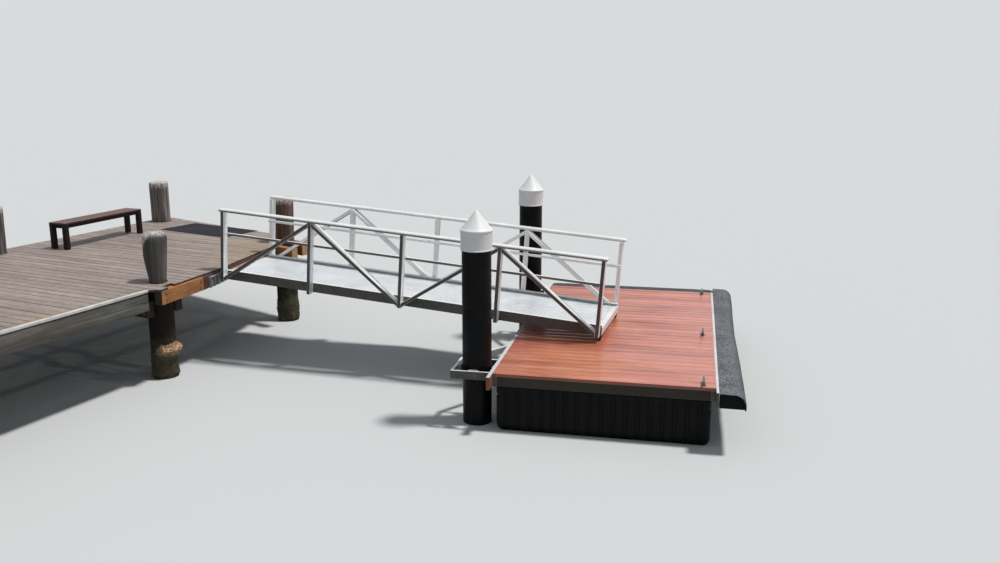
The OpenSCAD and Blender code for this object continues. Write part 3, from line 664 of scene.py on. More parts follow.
def worn_little(a, z, head):
    return 0.003 * (1 - z / head) if z > 0 else 0.0


PILE_WEAR = {RIGHT_PILES[0]: worn_landing, HEAD_LEFT: worn_little}
BOARD_PITCH = 0.1505
BOARD_GAP = 0.009
HOLE_GAP = 0.009


def pile_hole(at):
    """The hole that the boards leave for a pile: its middle and its radius by angle."""
    worn = PILE_WEAR.get(at, worn_head)
    return jetty(*at), lambda a: PILE_R + HOLE_GAP - worn(a, 0.0, LANDING_HEAD)


tops = boards("deck_boards", deck_outline(), SHORE_Y, BOARD_PITCH, BOARD_GAP, DECK_UNDER, DECK_TOP, jetty,
              lambda at: local(at.x, at.y)[1], 11, deck_wood, "jetty", "timber_weathered",
              ("deck_head", "deck_shore"), 0.003, 0.002, [pile_hole(p) for p in ALL_PILES])
spots = []
rng = random.Random(17)
for i, top in enumerate(tops):
    for x in (-GAUGE + 0.02, -2.85, -1.9, -0.95, 0.10):
        for part in (0.24, 0.76):
            sx, sy = x + rng.uniform(-0.006, 0.006), SHORE_Y + (i + part) * BOARD_PITCH
            clear = all(math.dist((sx, sy), p) > PILE_R + 0.03 for p in ALL_PILES)
            if sy < end_y(x) - 0.03 and clear:
                spots.append(jetty(sx, sy, top))
screws("deck_screws", spots, "jetty", "galvanised")

# Piles
LOG_SIDES, LOG_RINGS, CROWN_RINGS = 112, 92, 5


def log(bm, at, head, seed, warmth=0.0, pallor=0.75):
    """A worn pile with fluted sides, drying cracks and a rounded, crumbling crown."""
    centre = jetty(*at)
    top = DECK_TOP + head
    shape = PILE_WEAR.get(at, worn_head)
    landing = shape is worn_landing
    flutes, body_checks, head_checks, soft = (0.0025, 4, 2, 0.10) if landing else (0.006, 26, 14, 0.05)
    rng = random.Random(seed)
    checks = []
    for _ in range(body_checks):
        low = rng.uniform(0.2, top - 0.5)
        checks.append((rng.randrange(LOG_SIDES), low, low + rng.uniform(0.35, 1.1),
                       rng.uniform(0.004, 0.012)))
    for _ in range(head_checks):
        checks.append((rng.randrange(LOG_SIDES), top - rng.uniform(0.25, 0.8), top + 0.2,
                       rng.uniform(0.008, 0.02)))
    crown, warm, pale, calm = (layer(bm, name) for name in ("crown", "warm", "pale", "calm"))
    rows = []
    for j in range(LOG_RINGS + 1):
        z = top * j / LOG_RINGS
        row = []
        for k in range(LOG_SIDES):
            a = 2 * math.pi * k / LOG_SIDES
            cx, sx = math.cos(a), math.sin(a)
            r = PILE_R - 0.002
            r -= 0.007 * (0.5 + 0.5 * wave(cx * 1.3, sx * 1.3, z * 0.7 + seed))
            r -= flutes * abs(wave(cx * 9, sx * 9, z * 0.9 + seed * 2))
            for side, low, high, deep in checks:
                if side == k and low < z < high:
                    t = min(1.0, (z - low) / (high - low))
                    r -= deep * math.sin(math.pi * t * (0.5 if high > top else 1.0))
            r -= shape(a, z - DECK_TOP, head)
            r -= 0.4 * soft * max(0.0, (z - (top - soft)) / soft) ** 3
            sunk = 0.004 + 0.030 * max(0.0, wave(cx * 2.2, sx * 2.2, seed)) if j == LOG_RINGS else 0.0
            v = bm.verts.new((centre.x + r * cx, centre.y + r * sx, z - sunk))
            ragged = 0.07 * wave(cx * 5, sx * 5, seed)
            depth = 0.12 - ragged
            v[warm] = warmth
            v[pale] = pallor
            if landing:
                depth = 0.06 + 0.21 * max(0.0, math.cos(a - LANDING_SHOULDER)) ** 2 - 0.3 * ragged
                # The side towards the light is paler, with livelier grain: a painted highlight on top of the
                # pile's own pallor.
                sunlit = max(0.0, math.cos(a - LANDING_SUNLIT_SIDE)) ** 3
                v[calm] = 1.0 - 0.8 * sunlit
                v[pale] = min(1.0, pallor + sunlit)
            v[crown] = min(1.0, max(0.0, (z + depth - top) / 0.05)) * 0.85
            row.append(v)
        rows.append(row)
    rim = rows[-1]
    for s in range(1, CROWN_RINGS):
        f = 1 - s / CROWN_RINGS
        ring = []
        for v in rim:
            x, y = centre.x + (v.co.x - centre.x) * f, centre.y + (v.co.y - centre.y) * f
            crackle = 0.010 * max(0.0, wave(x * 16, y * 16, seed))
            ring.append(bm.verts.new((x, y, top - 0.006 - crackle - (top - 0.006 - v.co.z) * f * f)))
            ring[-1][crown] = 1.0
        rows.append(ring)
    rows.append([bm.verts.new((centre.x, centre.y, top - 0.012))])
    rows[-1][0][crown] = 1.0
    join(bm, rows)


def growth(bm, at, seed, side=None):
    """Shell growth around the foot of a pile, thicker towards one side."""
    centre = jetty(*at)
    low, high, sides, rings = 0.012, 0.56, 72, 22
    shell = layer(bm, "shell")
    rows = []
    for j in range(rings + 1):
        t = j / rings
        z = low + (high - low) * t
        row = []
        for k in range(sides):
            a = 2 * math.pi * k / sides
            cx, sx = math.cos(a), math.sin(a)
            lump = wave(cx * 2.2, sx * 2.2, z * 8 + seed) + 0.55 * wave(cx * 7, sx * 7, z * 26 + seed)
            lump += 0.3 * wave(cx * 17, sx * 17, z * 60)
            thick = 0.002 + 0.022 * max(0.0, lump) * math.sin(math.pi * min(1.0, t * 1.15 + 0.1)) ** 0.7
            thick -= 0.04 * max(0.0, t - 0.55) / 0.45
            pale = 0.25 * max(0.0, lump)
            # The pale band on that side is partly shells and partly a painted patch of sunlight at the pile's
            # foot.
            if side is not None:
                near = max(0.0, math.cos(a - side)) ** 1.3
                band = math.exp(-((z - 0.42 - 0.03 * lump) / 0.070) ** 2)
                thick += near * band * (0.110 + 0.05 * lump)
                pale = max(pale, min(1.0, 1.6 * near * band))
            r = PILE_R + thick if 0 < j < rings else PILE_R - 0.035
            v = bm.verts.new((centre.x + r * cx, centre.y + r * sx, z))
            v[shell] = pale
            row.append(v)
        rows.append(row)
    join(bm, rows)


right = [(RIGHT_PILES[0], LANDING_HEAD, 3, 0.0, 0.1)]
right += [(RIGHT_PILES[i], PILE_HEAD, 3 + i) for i in range(1, BAYS + 1)]
right += [(HEAD_RIGHT, PILE_HEAD, 8, 0.85, 0.2)]
left = [(p, PILE_HEAD, 20 + i) for i, p in enumerate(LEFT_PILES)] + [(HEAD_LEFT, PILE_HEAD, 31, 0.0, 1.0)]
for node, row in (("piles_right", right), ("piles_left", left)):
    bm = bmesh.new()
    for pile in row:
        log(bm, *pile)
    piece(node + "_logs", bm, pile_timber, "jetty", "timber_pile", 70, (node,))
bm = bmesh.new()
growth(bm, RIGHT_PILES[0], 2.0, -0.35)
for i, p in enumerate([HEAD_RIGHT] + RIGHT_PILES[1:] + LEFT_PILES + [HEAD_LEFT]):
    growth(bm, p, 9.0 + 3 * i)
piece("pile_growth", bm, crust, "jetty", "timber_pile", 60)

# Timbers, bench and mat
ALONG, ACROSS = jetty(0, 1), jetty(1, 0)
EDGE_UNDER = 1.08
CAPPING_UNDER = DECK_TOP - 0.040
GROOVE = 0.008
BEAM_JOINTS = (-6.44, -3.17, 0.24, 2.6)
HEADSTOCK_FACE = 0.2995
MAT_SIZE = (1.62, 0.80)
MAT_TURN = math.radians(-19)


def beam(bm, x0, x1, y0, y1, z0, z1, seed, r=0.006, step=0.16, wobble=0.003):
    """A sawn timber along the jetty with eased, slightly worn edges, inside the given box."""
    count = max(2, round((y1 - y0) / step))
    mx, mz = (x0 + x1) / 2, (z0 + z1) / 2
    section = [(x0 + r, z0), (x1 - r, z0), (x1 - r * 0.3, z0 + r * 0.3), (x1, z0 + r), (x1, mz),
               (x1, z1 - r), (x1 - r * 0.3, z1 - r * 0.3), (x1 - r, z1), (mx, z1), (x0 + r, z1),
               (x0 + r * 0.3, z1 - r * 0.3), (x0, z1 - r), (x0, z0 + r), (x0 + r * 0.3, z0 + r * 0.3)]
    rows = []
    for j in range(count + 1):
        y = y0 + (y1 - y0) * j / count
        row = []
        for x, z in section:
            pull = wobble * (0.5 + 0.5 * wave(x * 30 + seed, y * 2.3, z * 30))
            pull += 0.004 if j in (0, count) else 0.0
            row.append(bm.verts.new(jetty(x + (pull if x < mx else -pull), y,
                                          z + (pull if z < mz else -pull * 0.7))))
        rows.append(row)
    join(bm, rows, True)


def edge_beam(node, x0, x1, outward, y0, y1, seed):
    """An edge beam with a pale capping board over a narrow shadow groove."""
    def inset(inner, outer):
        return (x0 + inner, x1 - outer) if outward > 0 else (x0 + outer, x1 - inner)

    def inner_half(at, n):
        """The top's half next to the boards, which dirt from the deck dulls."""
        return 1.0 if n.z > 0.5 and (local(at.x, at.y)[0] - (x0 + x1) / 2) * outward < 0 else 0.0

    cuts = [y for y in BEAM_JOINTS if y0 + 0.6 < y < y1 - 0.5]
    side, top = bmesh.new(), bmesh.new()
    for k, (p, q) in enumerate(zip([y0] + cuts, cuts + [y1])):
        p, q = p + (0.002 if k else 0), q - (0.002 if q != y1 else 0)
        beam(side, *inset(0, 0.010), p, q, EDGE_UNDER, CAPPING_UNDER - GROOVE, seed + k, 0.007)
        beam(side, *inset(0.004, 0.030), p + 0.003, q - 0.003, CAPPING_UNDER - GROOVE - 0.004,
             CAPPING_UNDER + 0.004, seed + 7, 0.002, 0.4, 0.0)
        beam(top, x0, x1, p, q, CAPPING_UNDER, DECK_TOP, seed + 20 + k, 0.005, 0.16, 0.002)
    mark(side, "ends", facing(ALONG))
    mark(top, "ends", inner_half)
    piece(node + "_side", side, beam_wood, "jetty", "timber_weathered", 40, (node,))
    piece(node + "_capping", top, capping_wood, "jetty", "timber_weathered", 40)


left_end = max(local(v.co.x, v.co.y)[1] for v in nodes["edge_beam_left"].data.vertices)
edge_beam("edge_beam_right", EDGE_IN, EDGE_OUT, 1, SHORE_Y, -FASCIA_START, 5)
edge_beam("edge_beam_left", -GAUGE - EDGE_OUT, -GAUGE - EDGE_IN, -1, SHORE_Y, left_end, 6)


# The seat's sides and underside take a near-black tone: end grain at the ends, and painted shade on the faces
# below its lit top.
def not_top(at, n):
    return 1.0 if n.z < 0.5 else 0.0


fascia_way = Vector((math.sin(FASCIA_TURN), math.cos(FASCIA_TURN), 0))
for node, width, paint, seed, marks in (
        ("headstocks", 0.006, damp_shaded_cross, 41, ()),
        ("head_headstocks", 0.005, new_wood_cross, 42, [("ends", facing(ACROSS))]),
        ("girders", 0.005, damp_shaded_along, 43, ()),
        ("shore_beam", 0.006, cross_wood, 47, ()),
        ("fascia", 0.004, new_wood_along, 48, [("ends", facing(fascia_way))]),
        ("hinge_beam", 0.004, rust_wood, 49, ()),
        ("bench_legs", 0.004, bench_end, 50, ()),
        ("bench_rails", 0.003, bench_wood, 51, ()),
        ("bench_seat", 0.004, seat_wood, 52, [("ends", not_top)]),
        ("waler", 0.005, waler_wood, 54, ()),
        ("joists", 0.004, joist_wood, 55, ())):
    soften(node, width, 2, paint, seed, marks)


def mat_sheet():
    """The loose mat, lying flat with a few shallow ripples and slightly raised corners."""
    lo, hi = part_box("deck_mat")
    mid = jetty(-2.24, BAY + 0.32)
    nx, ny = 82, 42
    bm = bmesh.new()

    def at(i, j, z):
        x, y = (i / nx - 0.5) * MAT_SIZE[0], (j / ny - 0.5) * MAT_SIZE[1]
        return bm.verts.new((mid.x + x * math.cos(MAT_TURN) - y * math.sin(MAT_TURN),
                             mid.y + x * math.sin(MAT_TURN) + y * math.cos(MAT_TURN), z))

    under, upper = [], []
    for i in range(nx + 1):
        under.append([at(i, k, lo.z) for k in range(ny + 1)])
        line = []
        for k in range(ny + 1):
            rim = min(i, nx - i, k * 2, (ny - k) * 2) / 3.0
            ripple = 0.5 + 0.5 * wave(i * 0.13, k * 0.16, 4.0)
            line.append(at(i, k, hi.z - 0.0035 * ripple - 0.002 * max(0.0, 1 - rim)))
        upper.append(line)
    for i in range(nx):
        for k in range(ny):
            bm.faces.new((upper[i][k], upper[i + 1][k], upper[i + 1][k + 1], upper[i][k + 1]))
            bm.faces.new((under[i][k], under[i][k + 1], under[i + 1][k + 1], under[i + 1][k]))
        bm.faces.new((under[i][0], under[i + 1][0], upper[i + 1][0], upper[i][0]))
        bm.faces.new((under[i + 1][ny], under[i][ny], upper[i][ny], upper[i + 1][ny]))
    for k in range(ny):
        bm.faces.new((under[0][k + 1], under[0][k], upper[0][k], upper[0][k + 1]))
        bm.faces.new((under[nx][k], under[nx][k + 1], upper[nx][k + 1], upper[nx][k]))
    sheet = piece("mat_sheet", bm, mat_rubber, "jetty", "mat", 50, ("deck_mat",))


mat_sheet()

# Bolts through the headstocks at every pile, and in the fascia
bm = bmesh.new()
bents = [(right, left, (0.975, 1.08)) for right, left in zip(RIGHT_PILES, LEFT_PILES)]
bents.append((HEAD_RIGHT, HEAD_LEFT, (1.175, 1.28)))
for right, left, levels in bents:
    run = Vector((left[0] - right[0], left[1] - right[1], 0)).normalized()
    out = Vector((-run.y, run.x, 0))
    for p in (right, left):
        for s in (-1, 1):
            for slip, z in zip((-0.03, 0.03), levels):
                q = Vector((*p, 0)) + out * s * HEADSTOCK_FACE + run * slip
                hex_bolt(bm, jetty(q.x, q.y, z), jetty(out.x * s, out.y * s), 0.022)
fascia_out = (math.cos(FASCIA_TURN), -math.sin(FASCIA_TURN), 0)
for along in (0.10, 0.86):
    for z in (1.20, 1.29):
        hex_bolt(bm, (*fascia_at(along, -0.0004), z), fascia_out, 0.016)
piece("jetty_bolts", bm, bolt_steel, "jetty", "galvanised", 40)

# Gangway
SLOPE = math.radians(4.0557)
TURN = math.radians(5)
DOWN = Vector((math.cos(SLOPE) * math.cos(TURN), -math.cos(SLOPE) * math.sin(TURN), -math.sin(SLOPE)))
WIDE = Vector((math.sin(TURN), math.cos(TURN), 0))
UP = Vector((math.sin(SLOPE) * math.cos(TURN), -math.sin(SLOPE) * math.sin(TURN), math.cos(SLOPE)))
PIVOT = Vector((0.52, 1.64, 1.253))
TREAD_START, TREAD_END, TREAD_HALF = -0.010, 5.660, 0.6208
TREAD_TOP, TREAD_UNDER = 0.0443, 0.0400
BRACKETS = ((0.632, 0.862), (2.418, 2.648))
PLATE_FACE, RIB_FACE = 0.4178, 0.446


def gangway(u, v, w):
    return PIVOT + DOWN * u + UP * v + WIDE * w


def outwards(at, n):
    return n.dot(WIDE) * (1 if (at - PIVOT).dot(WIDE) > 0 else -1)


def rail_shade(at, n):
    """Painted shade on the lower half of the rounded outer side of a handrail and on its underside, below its
    lit top.
    """
    down = min(1.0, max(0.0, (0.35 - n.dot(UP)) / 0.5))
    return down * (0.85 if outwards(at, n) > 0.2 else 0.6 if n.dot(UP) < -0.6 else 0.15)


def painted_shade_and_spray(strength_out, strength_under):
    """Painted shade, with spray stains, on the faces that look outward or down, less of it low over the
    pontoon, none on tops.
    """
    def value(at, n):
        q = at - PIVOT
        over = min(1.0, max(0.0, (q.dot(DOWN) - 4.4) / 0.6))
        # dry is the share of the painted shade that stays: less of it low over the pontoon.
        dry = 1.0 - 0.5 * over * max(0.0, 1.0 - q.dot(UP) / 0.45)
        if outwards(at, n) > 0.85:
            return strength_out * dry
        return strength_under * dry if n.dot(UP) < -0.6 else 0.0
    return [("grime", value)]


for node, width, segs, marks in (
        ("truss_posts", 0.005, 3, painted_shade_and_spray(1.0, 0.8)), ("truss_diagonals", 0.005, 3, painted_shade_and_spray(1.0, 0.9)),
        ("mid_rails", 0.004, 3, painted_shade_and_spray(0.9, 0.6)), ("handrails", 0.021, 8, [("grime", rail_shade)]),
        ("chord_near", 0.002, 2, painted_shade_and_spray(1.0, 0.9)), ("chord_far", 0.002, 2, painted_shade_and_spray(1.0, 0.9)),
        ("cross_members", 0.003, 2, painted_shade_and_spray(0.5, 0.8)), ("toe_nosing", 0.0015, 2, ()),
        ("toe_shoes", 0.002, 2, ()), ("threshold_flap", 0.0012, 2, ()), ("hinge_eyes", 0.0015, 2, ()),
        ("hinge_brackets", 0.0015, 2, ())):
    soften(node, width, segs, bright_metal if node == "toe_nosing" else None, 0, marks)


def tread():
    """The tread plate with raised lozenge ribs that lean left and right by turns."""
    bm = bmesh.new()
    section = [(TREAD_UNDER, -TREAD_HALF), (TREAD_UNDER, TREAD_HALF), (TREAD_TOP - 0.001, TREAD_HALF),
               (TREAD_TOP, TREAD_HALF - 0.001), (TREAD_TOP, 0.2), (TREAD_TOP, -0.2),
               (TREAD_TOP, -TREAD_HALF + 0.001), (TREAD_TOP - 0.001, -TREAD_HALF)]
    length, strips = TREAD_END - TREAD_START, 38
    join(bm, [[bm.verts.new(gangway(TREAD_START + length * k / strips, v, w)) for v, w in section]
              for k in range(strips + 1)])
    piece("tread_sheet", bm, tread_metal, "gangway", "tread", 40, ("tread_plate",))
    bm = bmesh.new()
    pitch, half, wide, high = 0.037, 0.0168, 0.0088, 0.0024
    across = int(2 * (TREAD_HALF - 0.012) / pitch)
    for i in range(int((length - 0.08) / pitch)):
        u = TREAD_START + 0.02 + (i + 0.5) * pitch
        for j in range(across):
            w = (j - (across - 1) / 2) * pitch
            lean = math.radians(45 if (i + j) % 2 else -45)
            c, s = math.cos(lean), math.sin(lean)
            lo = [bm.verts.new(gangway(u + p * c - q * s, TREAD_TOP - 0.0004, w + p * s + q * c))
                  for p, q in ((-half, 0), (0, -wide), (half, 0), (0, wide))]
            hi = [bm.verts.new(gangway(u + p * c, TREAD_TOP + high, w + p * s))
                  for p in (-half / 2, half / 2)]
            for face in ((lo[0], lo[1], hi[1], hi[0]), (lo[1], lo[2], hi[1]), (lo[2], lo[3], hi[0], hi[1]),
                         (lo[3], lo[0], hi[0]), (lo[3], lo[2], lo[1], lo[0])):
                bm.faces.new(face)
    bmesh.ops.recalc_face_normals(bm, faces=bm.faces)
    piece("tread_lozenges", bm, lozenge_shaded_metal, "gangway", "tread")


tread()


def slab(bm, x0, x1, y0, y1, z0, z1):
    ease(bm, block(bm, ((x0 + x1) / 2, (y0 + y1) / 2, (z0 + z1) / 2), (x1 - x0, y1 - y0, z1 - z0)), 0.0015)


# Ribs, flanges and bolts of the two hinge brackets, outside the trusses
flanges, bolts = bmesh.new(), bmesh.new()
rib_low, rib_top, flange_low, flange_top = 1.152, 1.3012, 1.301, 1.311
for y0, y1 in BRACKETS:
    slab(flanges, PLATE_FACE, RIB_FACE, y0, y1, flange_low, flange_top)
    for y in (y0 + 0.005, (y0 + y1) / 2, y1 - 0.005):
        slab(flanges, PLATE_FACE, RIB_FACE, y - 0.005, y + 0.005, rib_low, rib_top)
    for y in ((3 * y0 + y1) / 4, (y0 + 3 * y1) / 4):
        for z in (1.185, 1.265):
            hex_bolt(bolts, (PLATE_FACE - 0.0002, y, z), (1, 0, 0), 0.017)
piece("bracket_flanges", flanges, galvanised, "jetty", "galvanised", 40)
piece("bracket_bolts", bolts, bolt_steel, "jetty", "galvanised", 40)

# Guide piles and caps
sleeve_line = [(0.0, 0.0), (0.170, 0.0), (0.1765, 0.006)]
for z in (0.42, 0.93, 1.44, 1.95):
    sleeve_line += [(0.1773, z - 0.010), (0.1760, z - 0.004), (0.1760, z + 0.004), (0.1773, z + 0.010)]
sleeve_line += [(0.1773, 2.366), (0.0, 2.366)]
cap_line = [(0.0, 2.3655), (0.1779, 2.3655), (0.1779, 2.150), (0.1880, 2.1500), (0.1922, 2.1525),
            (0.1940, 2.1590), (0.1922, 2.1655), (0.1898, 2.1690), (0.1898, 2.3620), (0.1915, 2.3700),
            (0.1950, 2.3745), (0.1975, 2.3815), (0.1972, 2.3900), (0.1945, 2.3965), (0.1895, 2.4010),
            (0.1840, 2.4040)]
for k in range(1, 9):
    t = k / 9
    cap_line.append((0.1840 * (1 - t) + 0.020 * t,
                     2.4040 * (1 - t) + 2.6120 * t - 0.004 * math.sin(math.pi * t)))
cap_line += [(0.020, 2.6120), (0.013, 2.6185), (0.006, 2.6220), (0.0, 2.6228)]
for name, node, line, paint in (("guide_sleeves", "guide_piles", sleeve_line, sleeve),
                                ("guide_cap_shells", "guide_caps", cap_line, cap_plastic)):
    bm = bmesh.new()
    for x, y in GUIDES:
        lathe(bm, x, y, line, 96)
    piece(name, bm, paint, "jetty", slot_of[node], 30, (node,))

# Pontoon
lo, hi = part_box("pontoon_deck")
step = (hi.y - lo.y) / 32
tops = boards("pontoon_boards", [(lo.x, lo.y), (hi.x, lo.y), (hi.x, hi.y), (lo.x, hi.y)], lo.y, step, 0.003,
              lo.z, hi.z, lambda x, y, z: Vector((x, y, z)), lambda at: at.y, 5, red_wood, "pontoon",
              "pontoon_board", ("pontoon_deck",), 0.002, 0.001)
screws("pontoon_screws", [Vector((x, lo.y + (i + part) * step, top)) for i, top in enumerate(tops)
                          for x in (lo.x + 0.030, hi.x - 0.030) for part in (0.26, 0.74)], "pontoon", "cleat")


def shade_below(sides, ends):
    """Painted shade on the sides and the underside of a bar, none on its top."""
    def value(at, n):
        if n.z > 0.6:
            return 0.0
        return ends if n.z < -0.6 or abs(n.y) > 0.6 else sides
    return [("grime", value)]


for node, width, paint, marks in (
        ("side_frames", 0.003, None, shade_below(1.0, 1.0)),
        ("edge_strips", 0.0015, None, shade_below(0.9, 1.0)),
        ("collar_near", 0.003, bright_metal, shade_below(0.6, 1.0)),
        ("collar_far", 0.003, bright_metal, shade_below(0.6, 1.0)), ("slide_pads", 0.004, None, ())):
    soften(node, width, 2, paint, 0, marks)
bm = bmesh.new()
collar_middle, collar_face, bolt_off = 0.67, 0.2693, 0.035
for x, y in GUIDES:
    for a in (90, 180, 270):
        d = Vector((math.cos(math.radians(a)), math.sin(math.radians(a)), 0))
        for off in (-bolt_off, bolt_off):
            at = Vector((x, y, collar_middle)) + d * collar_face + Vector((-d.y, d.x, 0)) * off
            hex_bolt(bm, at, d, 0.013)
piece("collar_bolts", bm, bolt_steel, "pontoon", "cleat", 40)


def fender(name, node, start, way, out, length, seed, slack, flaps, soil=0.0):
    """Carpet wrapped over a rolled edge: flat top, round shoulder, hanging side, lumpy and frayed.
    slack is how far it sags in the middle, and flaps are the places of the ribs that close it."""
    wide, r, deep, wall = 0.310, 0.150, 0.200, 0.020

    def rolled(inset):
        line = [(0.003 + (wide - r - 0.003) * k / 5, -inset) for k in range(6)]
        line += [(wide - r + (r - inset) * math.sin(math.radians(a)),
                  -r + (r - inset) * math.cos(math.radians(a))) for a in range(8, 91, 8)]
        return line + [(wide - inset, -r - (deep - r) * k / 5) for k in range(1, 6)]

    skin, back = rolled(0.0), rolled(wall)[::-1]
    section = skin + back
    count = int(length / 0.03)
    bm = bmesh.new()
    rows = []
    for j in range(count + 1):
        d = length * j / count
        end = min(d, length - d)
        row = []
        for i, (x, z) in enumerate(section):
            nx = max(0.0, min(1.0, (x - (wide - r)) / r))
            nz = 1.0 - nx
            sag, roll, crown = 0.001, 0.0, 0.0
            if i < len(skin):
                big = wave(d * 2.1, x * 4 + seed, z * 4)
                mid = wave(d * 11, x * 14 + seed, z * 14)
                fuzz = wave(d * 60, x * 70, z * 70 + seed)
                sag = 0.0030 * (1 + big) + 0.0014 * (1 + mid) + 0.0009 * (1 + fuzz)
                roll = 0.010 * max(0.0, 1 - end / 0.02)
                crown = 0.008 * math.sin(math.pi * min(1.0, x / wide)) * nz * min(1.0, end / 0.1)
            sag += slack * math.exp(-((d / length - 0.58) / 0.26) ** 2) * max(0.0, (x - 0.04) / wide)
            if i < 3 or i >= len(section) - 3:
                sag *= 0.4
            px, pz = x - (sag + roll) * nx, z + crown - (sag * 0.6 + roll) * nz
            if z <= -deep + 0.001:
                pz += 0.012 * (0.5 + 0.5 * wave(d * 5, seed, 2.0))
            row.append(bm.verts.new((*(start + way * d + out * px).xy, PONTOON_TOP + pz)))
        rows.append(row)
    join(bm, rows)
    hem = -deep + 0.015
    ring = [(0.004, hem)] + [(x - 0.001, max(z, hem) - 0.001) for x, z in back if z < -wall + 0.001]
    ring.append((0.004, -wall - 0.001))
    for at in flaps:
        join(bm, [[bm.verts.new((*(start + way * d + out * x).xy, PONTOON_TOP + z)) for x, z in ring]
                  for d in (at - 0.006, at + 0.006)])
    bmesh.ops.recalc_face_normals(bm, faces=bm.faces)

    # Painted shade, with some dirt: the outer skin darkens as it turns down from its top, and the inner
    # faces, where only shade falls, are fully dark. soil is the least of it, even on the top.
    def dirt(at, n):
        return max(soil, 0.75 * (1 - n.z)) if n.z > 0.3 or n.dot(out) > 0.3 else 1.0
    mark(bm, "grime", dirt)
    sheet = piece(name, bm, carpet, "pontoon", "fender_carpet", 60, (node,))


fender("fender_carpet_right", "fender_right", Vector((7.576, -1.218, 0)), Vector((0, 1, 0)),
       Vector((1, 0, 0)), 5.14, 3.0, 0.030, (0.030, 5.10))
fender("fender_carpet_far", "fender_far", Vector((4.956, 3.612, 0)), Vector((1, 0, 0)),
       Vector((0, 1, 0)), 2.6197, 8.0, 0.0, (0.030,), 0.5)


def float_shell(bm, x0, x1, y0, y1, z0, z1):
    """A moulded tank: rounded corners and keels, upright grooves around its sides."""
    r, pitch, groove = 0.055, 0.14, 0.012
    corners = [Vector(p) for p in ((x1 - r, y0 + r), (x1 - r, y1 - r), (x0 + r, y1 - r), (x0 + r, y0 + r))]
    path = []
    for i, corner in enumerate(corners):
        for a in range(-90, 1, 15):
            t = math.radians(90 * i + a)
            out = Vector((math.cos(t), math.sin(t)))
            path.append((corner + out * r, out))
        p, q = corner + out * r, corners[(i + 1) % 4] + out * r
        cells = max(1, round((q - p).length / pitch))
        for c in range(cells):
            for f, deep in ((0.30, 0.0), (0.38, groove), (0.62, groove), (0.70, 0.0)):
                path.append((p + (q - p) / cells * (c + f) - out * deep, out))
    levels = [(z0, 0.085), (z0 + 0.012, 0.045), (z0 + 0.035, 0.020), (z0 + 0.075, 0.004), (z0 + 0.10, 0.0),
              (z0 + 0.25, 0.0), (z1 - 0.13, 0.0), (z1 - 0.115, 0.010), (z1 - 0.095, 0.010), (z1 - 0.08, 0.0),
              (z1 - 0.012, 0.0), (z1, 0.012)]
    join(bm, [[bm.verts.new((*(p - out * inset), z)) for p, out in path] for z, inset in levels])


bm = bmesh.new()
float_start, float_pitch, float_width, float_top = -1.058, 1.1825, 1.1225, 0.56
for i in range(4):
    y = float_start + float_pitch * i
    float_shell(bm, 4.996, 7.506, y, y + float_width, 0.0, float_top)
piece("float_tanks", bm, float_shaded_plastic, "pontoon", "float", 35, ("floats",))


def cleat(bm, x, y):
    """A cast cleat: rounded foot with two bolts, two stems and a horn that tapers to both ends."""
    top = PONTOON_TOP
    edges = block(bm, (x, y, top + 0.004), (0.05, 0.14, 0.008))
    ease(bm, [e for e in edges if abs(e.verts[0].co.z - e.verts[1].co.z) > 0.005], 0.018, 4)
    for s in (-1, 1):
        lathe(bm, x, y + s * 0.030, [(0.0, top + 0.006), (0.018, top + 0.006), (0.0155, top + 0.012),
                                     (0.0120, top + 0.022), (0.0108, top + 0.036), (0.0120, top + 0.052),
                                     (0.0, top + 0.052)], 20)
        hex_bolt(bm, (x, y + s * 0.056, top + 0.0078), (0, 0, 1), 0.007, False)
    turns = [2 * math.pi * q / 16 for q in range(16)]
    rings = []
    for k in range(25):
        t = -1 + 2 * k / 24
        r = 0.0130 - 0.0045 * abs(t) ** 1.5
        r *= math.sqrt(max(0.02, 1 - max(0.0, (abs(t) - 0.93) / 0.07) ** 2))
        z = top + 0.055 + 0.0035 * t * t
        rings.append([bm.verts.new((x + r * math.cos(a), y + 0.12 * t, z + r * 0.9 * math.sin(a)))
                      for a in turns])
    join(bm, rings, True)


bm = bmesh.new()
for y in (-0.948, 1.122, 3.502):
    cleat(bm, 7.406, y)
bmesh.ops.recalc_face_normals(bm, faces=bm.faces)
piece("cleat_castings", bm, cleat_metal, "pontoon", "cleat", 40, ("cleats",))


# Stage, light and camera
def seen_directly(tree):
    """1 for rays from the camera, a mirror or glass, and 0 for the light that bounces about."""
    path = tree.nodes.new("ShaderNodeLightPath")
    last = path.outputs["Is Camera Ray"]
    for other in ("Is Glossy Ray", "Is Transmission Ray"):
        m = tree.nodes.new("ShaderNodeMath")
        m.operation = "MAXIMUM"
        tree.links.new(last, m.inputs[0])
        tree.links.new(path.outputs[other], m.inputs[1])
        last = m.outputs[0]
    return last


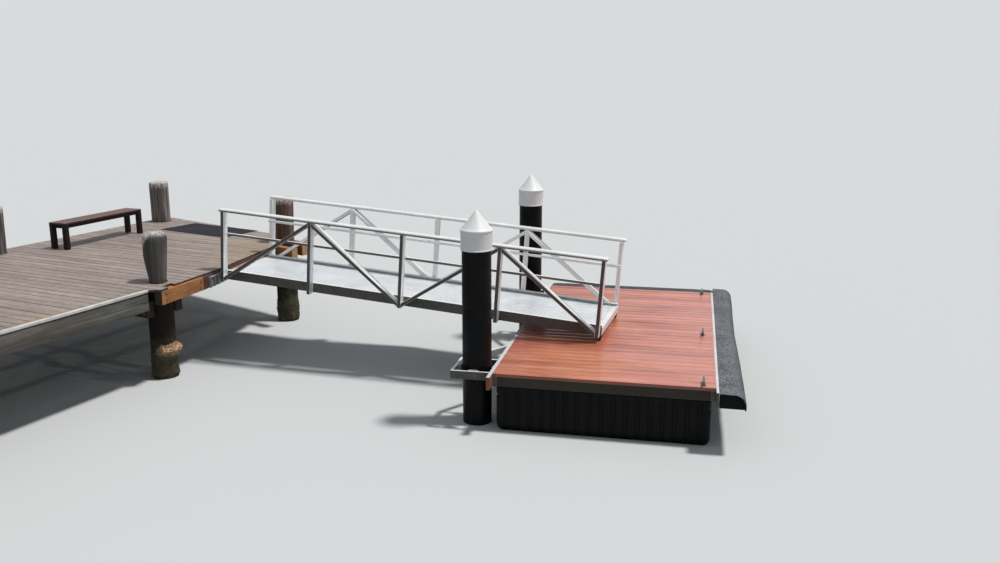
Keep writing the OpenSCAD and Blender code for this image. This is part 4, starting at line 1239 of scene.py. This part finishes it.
def stage_paint():
    """A pale floor, which throws less light back on the object than the camera sees."""
    m = bpy.data.materials.new("stage_floor")
    m.use_nodes = True
    t = m.node_tree
    shader = t.nodes["Principled BSDF"]
    n = t.nodes.new("ShaderNodeTexNoise")
    n.inputs["Scale"].default_value = 0.4
    r = t.nodes.new("ShaderNodeValToRGB")
    r.color_ramp.elements[0].color = (0.600, 0.618, 0.630, 1)
    r.color_ramp.elements[1].color = (0.620, 0.638, 0.650, 1)
    mix = t.nodes.new("ShaderNodeMix")
    mix.data_type = "RGBA"
    mix.inputs[6].default_value = (0.30, 0.33, 0.34, 1)
    for a, b in ((n.outputs[0], r.inputs[0]), (seen_directly(t), mix.inputs[0]),
                 (r.outputs[0], mix.inputs[7]), (mix.outputs[2], shader.inputs["Base Color"])):
        t.links.new(a, b)
    shader.inputs["Roughness"].default_value = 0.9
    shader.inputs["Specular IOR Level"].default_value = 0.1
    return m


bm = bmesh.new()
bmesh.ops.create_grid(bm, x_segments=2, y_segments=2, size=400.0)
floor = object_of("floor", bm)
floor.location = (0, 0, -0.001)
floor.data.materials.append(stage_paint())

world = bpy.data.worlds.new("studio")
scene.world = world
world.use_nodes = True
wt = world.node_tree
wt.nodes.clear()
w_out = wt.nodes.new("ShaderNodeOutputWorld")
w_mix = wt.nodes.new("ShaderNodeMixShader")
w_lit = wt.nodes.new("ShaderNodeBackground")
w_seen = wt.nodes.new("ShaderNodeBackground")
w_lit.inputs[0].default_value = (0.90, 0.95, 1.0, 1)
w_lit.inputs[1].default_value = 0.33
w_seen.inputs[0].default_value = (0.690, 0.712, 0.716, 1)
for a, b in ((seen_directly(wt), w_mix.inputs[0]), (w_lit.outputs[0], w_mix.inputs[1]),
             (w_seen.outputs[0], w_mix.inputs[2]), (w_mix.outputs[0], w_out.inputs[0])):
    wt.links.new(a, b)

sun_data = bpy.data.lights.new("key", "SUN")
sun_data.energy = 2.8
sun_data.angle = math.radians(6)
sun_data.color = (1.0, 0.975, 0.94)
sun = bpy.data.objects.new("key", sun_data)
sun.rotation_euler = Vector((0.38, 0.08, 0.92)).to_track_quat("Z", "Y").to_euler()
scene.collection.objects.link(sun)

cam_data = bpy.data.cameras.new("camera")
cam_data.sensor_width = 36
cam_data.lens = 33.37
cam = bpy.data.objects.new("camera", cam_data)
cam.location = (7.170, -11.281, 4.252)
cam.rotation_euler = (math.radians(77.004), 0, math.radians(11.723))
scene.collection.objects.link(cam)
scene.camera = cam
scene.view_settings.view_transform = "Standard"

bpy.context.view_layer.update()
